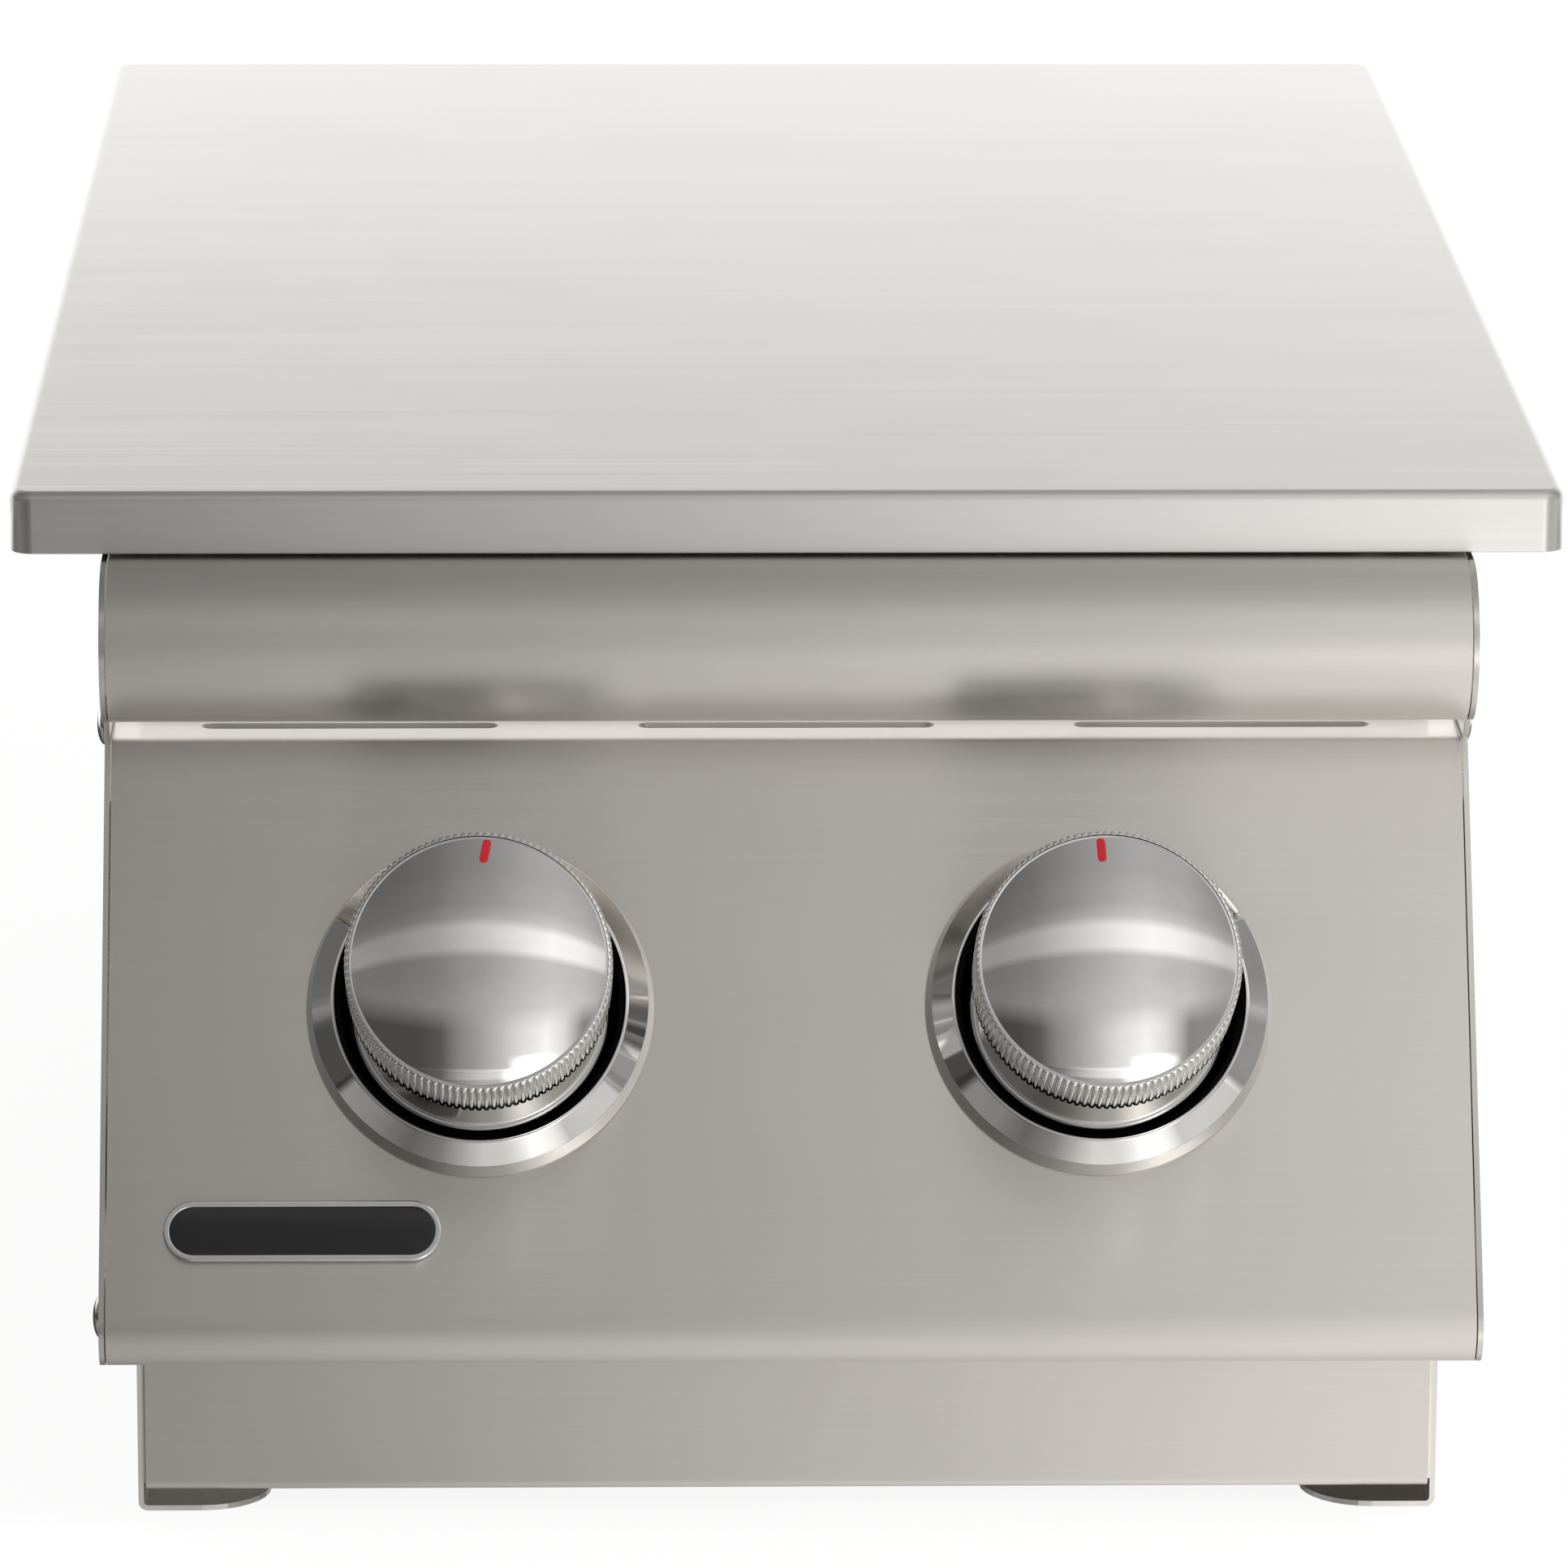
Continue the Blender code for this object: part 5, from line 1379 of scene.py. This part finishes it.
@dataclass
class Burner:
    """Cast base with a neck through the pan, ported brass cap, and the spark electrode beside it."""

    place: Place
    radius: float = 0.0400
    base_height: float = 0.0220
    cap_height: float = 0.0120
    ports: int = 14
    port_depth: float = 0.0030
    neck: float = 0.0130
    mouth_share: float = 0.86
    mouth_drop: float = 0.2
    sleeve: float = 0.0034
    collar_share: float = 1.7
    tip: float = 0.0012
    spark_gap: float = 0.0060

    @property
    def seat(self) -> tuple[float, float, float]:
        """Where the base stands on the pan's floor."""
        return 0.0, LAYOUT.burner_y(self.place), LAYOUT.pan_seat_z

    def build(self) -> None:
        """Build base, cap and electrode."""
        self.base()
        self.cap()
        self.electrode()

    def base(self) -> None:
        """Turn the base: neck, flared bowl and an open top with a shoulder for the cap."""
        r, h = self.radius, self.base_height
        mouth = r * self.mouth_share
        profile = np.concatenate([
            [(self.neck, -LAYOUT.neck_length), (self.neck, 0.0)],
            catmull([(r * 0.62, 0.0), (r * 0.70, h * 0.3), (r * 0.94, h * 0.7), (r, h)], 8),
            [(mouth, h), (mouth, h * (1 - self.mouth_drop))],
        ])
        name = self.place.value + "_base_casting"
        mesh = turned(profile, 72, facing("Z", self.seat), name, capped=True)
        add_piece(name, mesh, "body", CAST_IRON, "cast_iron", self.place.value + "_burner_base")

    def cap(self) -> None:
        """Turn the cap with ports: the radius is r - d w(t), where w is a clipped wave of the port count."""
        r, h = self.radius, self.cap_height
        spigot = r * self.mouth_share - LAYOUT.running_gap
        crown = catmull([(r, h * 0.55), (r * 0.97, h * 0.82), (r * 0.88, h), (r * 0.68, h * 0.95),
                         (r * 0.4, h * 0.85), (0.0, h * 0.82)], 6)
        rows = np.concatenate([
            [(spigot, LAYOUT.running_gap - self.base_height * self.mouth_drop, 0.0), (spigot, 0.0, 0.0)],
            [(r, 0.0, 1.0), (r, h * 0.5, 1.0)],
            np.column_stack([crown, np.zeros(len(crown))]),
        ])
        t = np.arange(self.ports * 16) * 2 * pi / (self.ports * 16)
        wave = np.clip(0.5 + 3 * np.cos(self.ports * t), 0, 1)
        reach = rows[:, :1] - self.port_depth * rows[:, 2:] * wave
        grid = spun(reach, rows[:, 1:2], t)
        grid = np.concatenate([grid[:1] * (0, 0, 1), grid])
        spot = (*self.seat[:2], self.seat[2] + self.base_height + LAYOUT.seat_gap)
        name = self.place.value + "_cap_ring"
        mesh = Surface().add(placed(grid, facing("Z", spot))).mesh(name)
        add_piece(name, mesh, "body", TURNED_BRASS, "brass", self.place.value + "_burner_cap")

    def electrode(self) -> None:
        """Turn the ceramic sleeve with its collar, and the steel pin in its top."""
        top = self.base_height + self.cap_height * 0.4
        r, tip, foot, sheet = self.sleeve, self.tip, -LAYOUT.sleeve_drop, LAYOUT.sheet
        collar = r * self.collar_share
        body = np.array([
            (0.0, foot), (r, foot), (r, 0.0), (collar, 0.0), (collar, sheet * 0.8), (collar - 0.0003, sheet),
            (r, sheet), (r, top * 0.72), (r * 0.85, top * 0.75), (0.0, top * 0.75),
        ])
        pin = np.array([
            (0.0, top * 0.7), (tip, top * 0.7), (tip, top - 0.0005), (tip * 0.6, top), (0.0, top),
        ])
        spot = facing("Z", (self.radius + self.spark_gap, *self.seat[1:]))
        word = self.place.value
        mesh = turned(body, 32, spot, word + "_sleeve")
        add_piece(word + "_sleeve", mesh, "body", CERAMIC, "ceramic", word + "_electrode")
        mesh = turned(pin, 20, spot, word + "_spark_pin")
        add_piece(word + "_spark_pin", mesh, "body", GRATE_ROD, "grate_steel")


@dataclass
class GasTrain:
    """Manifold, inlet, mixing tubes with turning air shutters, and the ignition leads."""

    outlet_z: float = 0.095351
    manifold: tuple[float, float] = (-0.231630, 0.077009)
    manifold_radius: float = 0.0095
    mount_wall: float = 0.0030
    mount_length: float = 0.0100
    mount_flange: float = 0.0060
    mount_edge: float = 0.0004
    mount_fillet: float = 0.0006
    pipe_chamfer: float = 0.001
    inlet_radius: float = 0.0075
    inlet_length: float = 0.0380
    inlet_x: float = 0.112
    tube_radius: float = 0.0110
    tube_wall: float = 0.0014
    mouth_radius: float = 0.0066
    cup_edge: float = 0.0003
    window_share: float = 0.4
    window_round: float = 0.0008
    spark_x: float = 0.0460
    valve_radius: float = 0.0110
    valve_depth: float = 0.0271
    lead_radius: float = 0.0015
    lead_sag: float = 0.0090
    lead_clearance: float = 0.0180

    def build(self) -> None:
        """Build the pipes, then each burner's tube, shutter and lead."""
        self.pipes()
        for place, side in ((Place.FRONT, Side.LEFT), (Place.REAR, Side.RIGHT)):
            self.mixing_tube(place, side)
            self.lead(place, side)

    def pipes(self) -> None:
        """Turn the manifold, its two end sockets and the gas inlet."""
        seat, end = LAYOUT.panel_half, LAYOUT.panel_half - self.mount_flange / 2
        r, chamfer = self.manifold_radius, self.pipe_chamfer
        pipe = np.array([
            (0.0, -end), (r - chamfer, -end), (r, chamfer - end),
            (r, end - chamfer), (r - chamfer, end), (0.0, end),
        ])
        mesh = turned(pipe, 40, facing("X", (0.0, *self.manifold)), "manifold_pipe")
        add_piece("manifold_pipe", mesh, "body", GALVANISED, "galvanised", "manifold")
        bore, sheet, long = r + LAYOUT.seat_gap, LAYOUT.sheet, self.mount_length
        outer = bore + self.mount_wall
        foot, edge, fillet = outer + self.mount_flange, self.mount_edge, self.mount_fillet
        socket = np.array([
            (bore, -long), (outer - edge, -long), (outer, edge - long), (outer, -sheet - fillet),
            (outer + fillet, -sheet), (foot, -sheet), (foot, 0.0), (bore, 0.0),
        ])
        for side in Side:
            name = side.word + "_pipe_socket"
            spot = facing("X", (side.value * seat, *self.manifold), side.value)
            mesh = turned(socket, 40, spot, name, ring=True)
            add_piece(name, mesh, "body", GALVANISED, "galvanised", side.word + "_manifold_mount")
        r, long = self.inlet_radius, self.inlet_length
        inlet = np.array([
            (0.0, 0.0), (r * 0.8, 0.0), (r * 0.8, long * 0.2), (r * 1.25, long * 0.2), (r * 1.25, long * 0.5),
            (r, long * 0.5), (r, long * 0.9), (r * 0.5, long), (r * 0.5, long * 0.6), (0.0, long * 0.6),
        ])
        y, z = self.manifold
        spot = facing("Y", (self.inlet_x, y + self.manifold_radius + LAYOUT.seat_gap, z))
        mesh = turned(inlet, 40, spot, "inlet_fitting")
        add_piece("inlet_fitting", mesh, "body", TURNED_BRASS, "brass", "gas_inlet")

    def mixing_tube(self, place: Place, side: Side) -> None:
        """Hollow tube along a smooth curve to the burner's neck, and the windowed cup round its mouth."""
        x, y, low = LAYOUT.knob_x(side), LAYOUT.burner_y(place), self.outlet_z
        start = LAYOUT.shutter_y + LAYOUT.sheet + LAYOUT.running_gap
        long, r, word = LAYOUT.shutter_length, self.tube_radius, place.value
        top = LAYOUT.pan_seat_z - LAYOUT.neck_length - LAYOUT.seat_gap
        rise, straight = top - low, (y - start - long) * 0.25
        path = catmull([
            (x, start, low), (x, start + long, low), (x, start + long + straight, low),
            (x * 0.75, y - r * 4, low), (x * 0.12, y - r * 0.6, low + rise * 0.3),
            (0.0, y, top - rise * 0.40), (0.0, y, top - rise * 0.15), (0.0, y, top),
        ], 10)
        inside = tube(path, r - self.tube_wall, 32, (1, 0, 0))[::-1]
        walls = np.concatenate([tube(path, r, 32, (1, 0, 0)), inside])
        pipe = Surface().add(walls, ring=True).mesh(word + "_mixing_tube")
        bore, sheet, mouth = r + LAYOUT.running_gap, LAYOUT.sheet, self.mouth_radius
        outer = bore + sheet
        profile = np.array([
            (mouth, 0.0), (outer - self.cup_edge, 0.0), (outer, self.cup_edge), (outer, long),
            (bore, long), (bore, sheet), (mouth, sheet),
        ])
        spot = facing("Y", (x, LAYOUT.shutter_y, low))
        opening = rounded_rectangle((2 * outer, outer * self.window_share), self.window_round, 4)

        def cutter() -> Mesh:
            """Block that cuts the air windows."""
            block = placed(along(opening, long / 4, long * 0.6, "Z"), spot)
            return Surface().add(block, capped=True).mesh("window")

        pipe = carved(pipe, [cutter()])
        add_piece(word + "_mixing_tube", pipe, "body", GALVANISED, "galvanised", word + "_venturi")
        cup = carved(turned(profile, 64, spot, word + "_shutter_cup", ring=True), [cutter()])
        add_piece(word + "_shutter_cup", cup, word + "_shutter", GALVANISED, "galvanised",
                  word + "_air_shutter")

    def lead(self, place: Place, side: Side) -> None:
        """Round sleeve along a smooth curve from the electrode's foot to the side of the valve."""
        x, y = self.spark_x, LAYOUT.burner_y(place)
        sag = self.lead_sag * (1 if place is Place.FRONT else 2)
        foot = LAYOUT.pan_seat_z - LAYOUT.sleeve_drop - LAYOUT.seat_gap
        low, inward, clear = foot - sag, -side.value, self.lead_clearance
        knob = LAYOUT.face_frame(0.0, LAYOUT.knob_drop)
        middle = (knob[:3, 3] - knob[:3, 2] * self.valve_depth)[1:]
        side_x = LAYOUT.knob_x(side) + inward * (self.valve_radius + LAYOUT.seat_gap)
        clear_x = side_x + inward * clear
        start = LAYOUT.shutter_y + LAYOUT.sheet + LAYOUT.running_gap
        path = catmull([
            (x, y, foot), (x, y, foot - sag / 4), (x, y, foot - sag / 2), (x - clear / 2, y - clear, low),
            (x - clear, start + 2 * LAYOUT.shutter_length, low), (clear_x, start, (low + middle[1]) / 2),
            (clear_x, middle[0] + clear / 2, middle[1]), (side_x + inward * clear / 2, *middle),
            (side_x + inward * clear / 4, *middle), (side_x, *middle),
        ], 8)
        name = place.value + "_lead_sleeve"
        mesh = Surface().add(tube(path, self.lead_radius, 12, (0.2, -0.55, 0.8)), capped=True).mesh(name)
        add_piece(name, mesh, "body", SILICONE, "lead_silicone", place.value + "_lead")


@dataclass
class Carried:
    """Solids that are shown as they are, with the scene's finishes."""

    nodes: dict[str, bpy.types.Object]

    def dress(self) -> None:
        """Give each shown node the finish of its make."""
        finishes = {"side_panel": STEEL_Y, "gas_valve": TURNED_BRASS, "orifice": TURNED_BRASS,
                    "valve_stem": TURNED_BRASS, "thrust_collar": GALVANISED}
        pairs = {f"{side.word}_{part}": finish for part, finish in finishes.items() for side in Side}
        for name, finish in {"rear_panel": STEEL_X, **pairs}.items():
            self.nodes[name].material_slots[0].material = finish.material()
            LOG.info("%s dressed with %s", name, finish.name)


@dataclass
class Studio:
    """Camera, pale floor, soft lamps and the surround that the metal mirrors."""

    camera_spot: tuple[float, float, float] = (-0.0480, -2.2434, 0.6843)
    yaw: float = -1.339
    pitch: float = 14.580
    roll: float = 0.2267
    lens: float = 217.94
    sensor: float = 36.0
    clip_end: float = 100.0
    floor_half: float = 8.0
    floor_z: float = -0.0003
    floor_tone: float = 0.86
    floor_glow: float = 1.12
    floor_share: float = 0.8
    least_depth: float = 0.25
    bearing_reach: float = 0.4
    bearing_levels: tuple[float, float] = (0.75, 1.2)
    key_spot: tuple[float, float, float] = (0.90, -1.30, 1.90)
    key_aim: tuple[float, float, float] = (0.0, -0.20, 0.12)
    key_size: tuple[float, float] = (0.9, 0.6)
    key_power: float = 12.0
    strip_back: float = 0.0100
    strip_rise: float = 0.0032
    strip_tilt: float = 0.176
    strip_width: float = 0.0170
    strip_power: float = 0.0154
    fill_level: float = 0.6
    tint: tuple[float, float, float, float] = (1.0, 0.99, 0.975, 1.0)
    tent_radius: float = 0.85
    tent_low: float = -0.05
    tent_depth: float = 0.05
    low_span: tuple[float, float] = (0.22, 0.34)
    back_span: tuple[float, float] = (0.05, 0.4)
    foot_span: tuple[float, float] = (0.045, 0.085)
    far_tint: tuple[float, float, float, float] = (1.0, 0.985, 0.96, 1.0)
    far_radius: float = 7.0
    steep_span: tuple[float, float] = (-0.62, -0.42)
    glow_span: tuple[float, float] = (-0.20, -0.16)
    far_back_span: tuple[float, float] = (0.0, 0.5)
    far_back_level: float = 0.5
    near_levels: Stops = (
        (-0.86, 1.0), (-0.82, 0.55), (-0.60, 0.55), (-0.35, 0.85), (-0.20, 0.85), (0.0, 0.60),
    )
    side_levels: Stops = (
        (-0.50, 0.24), (-0.30, 0.30), (-0.08, 0.46), (0.08, 0.60), (0.20, 0.72), (0.32, 0.80),
        (0.50, 0.74), (0.70, 0.50),
    )
    low_levels: Stops = (
        (-0.40, 0.08), (-0.28, 0.12), (-0.18, 0.30), (-0.08, 0.42), (0.03, 0.62), (0.12, 0.85), (0.30, 1.20),
        (0.40, 0.95), (0.52, 0.30), (0.80, 0.36),
    )
    band_levels: Stops = (
        (0.40, 1.0), (0.60, 0.88), (0.72, 0.88), (0.80, 1.5), (1.02, 1.5), (1.15, 0.95),
        (1.40, 0.74), (2.50, 0.64),
    )
    floor_levels: Stops = (
        (-0.90, 0.60), (-0.70, 0.45), (-0.50, 0.15), (-0.30, 0.20), (-0.15, 0.65), (0.0, 1.0),
        (0.14, 1.1), (0.24, 2.8), (0.36, 4.0), (0.46, 2.4), (0.60, 0.8),
    )
    steep_levels: Stops = (
        (-0.90, 0.60), (-0.70, 0.50), (-0.50, 0.35), (-0.30, 0.40), (-0.15, 0.65), (0.0, 1.0),
        (0.30, 1.0), (0.60, 0.7),
    )
    glow_levels: Stops = (
        (0.20, 0.0), (0.31, 1.0), (0.36, 4.0), (0.44, 4.0), (0.49, 1.0), (0.58, 0.0),
    )
    back_levels: Stops = ((0.20, 1.45), (0.50, 1.50), (0.64, 1.45), (0.78, 0.6), (1.0, 0.38))

    def build(self) -> None:
        """Set up the view and the light."""
        scene = bpy.context.scene
        scene.view_settings.view_transform = "Standard"
        self.camera(scene)
        self.floor()
        self.lamps()
        self.tent()
        self.far_globe()
        self.surround(scene)

    def camera(self, scene: bpy.types.Scene) -> None:
        """Camera turned by yaw, pitch and roll, in that order."""
        yaw, pitch, roll = radians(self.yaw), radians(self.pitch), radians(self.roll)
        right = np.array([cos(yaw), sin(yaw), 0.0])
        ahead = np.array([-sin(yaw) * cos(pitch), cos(yaw) * cos(pitch), -sin(pitch)])
        up = np.array([-sin(yaw) * sin(pitch), cos(yaw) * sin(pitch), cos(pitch)])
        turn = np.eye(4)
        turn[:3, 0] = right * cos(roll) + up * sin(roll)
        turn[:3, 1] = up * cos(roll) - right * sin(roll)
        turn[:3, 2] = -ahead
        turn[:3, 3] = self.camera_spot
        data = bpy.data.cameras.new("camera")
        data.sensor_width, data.lens, data.clip_end = self.sensor, self.lens, self.clip_end
        camera = bpy.data.objects.new("camera", data)
        scene.collection.objects.link(camera)
        camera.matrix_world = Matrix(turn.tolist())
        scene.camera = camera

    def staged(self, name: str, grid: Array, material: bpy.types.Material) -> bpy.types.Object:
        """Put an open sheet of the set into the scene."""
        mesh = Surface().add(grid, loop=False).mesh(name)
        mesh.materials.append(material)
        sheet = bpy.data.objects.new(name, mesh)
        bpy.context.scene.collection.objects.link(sheet)
        return sheet

    def floor(self) -> None:
        """Flat floor: near white with the shadow where it is seen, a graded veil where metal mirrors it."""
        material, tree = self.bare("studio_floor")
        path = tree.add("ShaderNodeLightPath")
        spot = tree.add("ShaderNodeSeparateXYZ", {0: tree.place()}).outputs
        depth = tree.maths("MAXIMUM", tree.maths("MULTIPLY", spot["Y"], -1.0), self.least_depth)
        bearing = tree.maths("DIVIDE", spot["X"], depth)
        across = tree.spread(bearing, *self.bearing_levels, -self.bearing_reach, self.bearing_reach)
        level = tree.maths("MULTIPLY", tree.ramp(spot["Y"], self.near_levels), across)
        tone = (self.floor_tone, self.floor_tone, self.floor_tone, 1.0)
        lit = tree.add("ShaderNodeBsdfDiffuse", {"Color": tone})
        white = tree.add("ShaderNodeEmission", {"Color": (1.0, 1.0, 1.0, 1.0), "Strength": self.floor_glow})
        mirrored = tree.add("ShaderNodeBsdfTransparent", {"Color": level})
        seen = tree.maths("MAXIMUM", path.outputs["Is Camera Ray"], path.outputs["Is Transmission Ray"])
        plain = tree.add("ShaderNodeMixShader", {
            0: tree.maths("MULTIPLY", seen, self.floor_share), 1: lit.outputs[0], 2: white.outputs[0],
        })
        both = tree.add("ShaderNodeMixShader", {
            0: path.outputs["Is Glossy Ray"], 1: plain.outputs[0], 2: mirrored.outputs[0],
        })
        tree.add("ShaderNodeOutputMaterial", {0: both.outputs[0]})
        half = np.array([-self.floor_half, self.floor_half])
        x, y = np.meshgrid(half, half, indexing="ij")
        self.staged("floor", np.stack([x, y, np.full((2, 2), self.floor_z)], axis=-1), material)

    @staticmethod
    def bare(name: str) -> tuple[bpy.types.Material, Tree]:
        """New material of the set with an empty tree, whose light is only met and never sampled."""
        material = bpy.data.materials.new(name)
        material.use_nodes = True
        material.cycles.emission_sampling = "NONE"
        tree = Tree(material.node_tree)
        tree.tree.nodes.clear()
        return material, tree

    @staticmethod
    def outward(tree: Tree) -> tuple[Socket, ...]:
        """Direction (x, y, z) from the origin to a place on the set."""
        unit = tree.add("ShaderNodeVectorMath", {0: tree.place()}, operation="NORMALIZE")
        way = tree.add("ShaderNodeSeparateXYZ", {0: unit.outputs[0]})
        return tuple(way.outputs[axis] for axis in "XYZ")

    def globe(self, name: str, radius: float, low: float, material: bpy.types.Material) -> None:
        """Globe that only metal mirrors, R (cos e sin a, -cos e cos a, sin e), from a lowest angle up."""
        a, e = np.meshgrid(np.linspace(0, 2 * pi, 97), np.linspace(low, pi / 2, 49))
        grid = radius * np.stack([np.cos(e) * np.sin(a), -np.cos(e) * np.cos(a), np.sin(e)], axis=-1)
        sheet = self.staged(name, grid, material)
        sheet.visible_camera = sheet.visible_diffuse = False
        sheet.visible_shadow = sheet.visible_transmission = False

    def far_globe(self) -> None:
        """Globe far off, which metal mirrors through the floor and the tent's foot, graded by direction."""
        material, tree = self.bare("studio_far_globe")
        x, y, z = self.outward(tree)
        level = tree.ramp(x, self.steep_levels)
        for span, stops in ((self.steep_span, self.floor_levels), (self.glow_span, self.glow_levels)):
            level = tree.blend(tree.spread(z, 0.0, 1.0, *span), level, tree.ramp(x, stops))
        level = tree.maths("MULTIPLY", level, tree.spread(y, 1.0, self.far_back_level, *self.far_back_span))
        light = tree.add("ShaderNodeEmission", {"Color": self.far_tint, "Strength": level})
        tree.add("ShaderNodeOutputMaterial", {0: light.outputs[0]})
        self.globe("far_globe", self.far_radius, -pi / 2, material)

    def lamp(self, name: str, spot: Sequence[float], way: Sequence[float], size: tuple[float, float],
             power: float) -> bpy.types.Object:
        """Soft flat lamp.

        Args:
            name: the lamp's name.
            spot: its middle.
            way: direction that it shines in.
            size: its width and height.
            power: its power in watts.

        Returns:
            The lamp.
        """
        data = bpy.data.lights.new(name, "AREA")
        data.shape, data.energy = "RECTANGLE", power
        data.size, data.size_y = size
        lamp = bpy.data.objects.new(name, data)
        bpy.context.scene.collection.objects.link(lamp)
        lamp.visible_camera = False
        back = -np.asarray(way) / np.linalg.norm(way)
        right = np.cross((0.0, 0.0, 1.0), back)
        right /= np.linalg.norm(right)
        turn = np.eye(4)
        turn[:3, 0], turn[:3, 1], turn[:3, 2], turn[:3, 3] = right, np.cross(back, right), back, spot
        lamp.matrix_world = Matrix(turn.tolist())
        return lamp

    def lamps(self) -> None:
        """Key lamp high on the right for the floor's shadow, and a weak strip over the vent ledge."""
        way = np.array(self.key_aim) - self.key_spot
        key = self.lamp("key_lamp", self.key_spot, way, self.key_size, self.key_power)
        key.visible_glossy = False
        bend = LAYOUT.bend_point
        spot = (0.0, bend[0] + self.strip_back, bend[1] + self.strip_rise)
        size = (2 * LAYOUT.panel_half, self.strip_width)
        self.lamp("gap_strip", spot, (0.0, -self.strip_tilt, -1.0), size, self.strip_power)

    def surround(self, scene: bpy.types.Scene) -> None:
        """Even pale light from all round for what is not metal."""
        world = bpy.data.worlds.new("surround")
        world.use_nodes = True
        scene.world = world
        tree = Tree(world.node_tree)
        tree.tree.nodes.clear()
        seen = tree.add("ShaderNodeLightPath").outputs["Is Camera Ray"]
        strength = tree.spread(seen, self.fill_level, 1.0)
        light = tree.add("ShaderNodeBackground", {"Color": self.tint, "Strength": strength})
        tree.add("ShaderNodeOutputWorld", {0: light.outputs[0]})

    def tent(self) -> None:
        """Half-globe round the object.

        In front it is brighter to the right, with a pale band where height over depth is about one. Low
        down it falls from bright on the right to dark on the left and lets the far globe's glow through.
        The back is pale.
        """
        material, tree = self.bare("studio_tent")
        x, y, z = self.outward(tree)
        depth = tree.maths("MAXIMUM", tree.maths("MULTIPLY", y, -1.0), self.tent_depth)
        band = tree.ramp(tree.maths("DIVIDE", z, depth), self.band_levels)
        high = tree.maths("MULTIPLY", tree.ramp(x, self.side_levels), band)
        front = tree.blend(tree.spread(z, 0.0, 1.0, *self.low_span), tree.ramp(x, self.low_levels), high)
        behind = tree.spread(y, 0.0, 1.0, *self.back_span)
        level = tree.blend(behind, front, tree.ramp(z, self.back_levels))
        light = tree.add("ShaderNodeEmission", {"Color": self.tint, "Strength": level})
        low = tree.spread(z, 1.0, 0.0, *self.foot_span)
        foot = tree.maths("MULTIPLY", low, tree.spread(behind, 1.0, 0.0))
        veil = tree.add("ShaderNodeBsdfTransparent", {"Color": foot})
        both = tree.add("ShaderNodeAddShader", {0: light.outputs[0], 1: veil.outputs[0]})
        tree.add("ShaderNodeOutputMaterial", {0: both.outputs[0]})
        self.globe("tent", self.tent_radius, self.tent_low, material)


def main() -> None:
    """Build the studio and every piece in order, and write the two boxes."""
    logging.basicConfig(level=logging.INFO, format="%(message)s")
    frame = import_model()
    Studio().build()
    pieces = [
        Lid(), FrontSheets(), CheekBolts(), Badge(),
        Knob(Side.LEFT, pointer_turn=3.5, pointer_skew=6.0),
        Knob(Side.RIGHT, pointer_turn=-3.0, pointer_skew=1.0),
        BurnerPan(), *(Grate(place) for place in Place), *(Burner(place) for place in Place), GasTrain(),
    ]
    for piece in pieces:
        LOG.info("%s: %s", type(piece).__name__, type(piece).__doc__)
        piece.build()
    Carried(frame["nodes"]).dress()


if __name__ == "__main__":
    main()
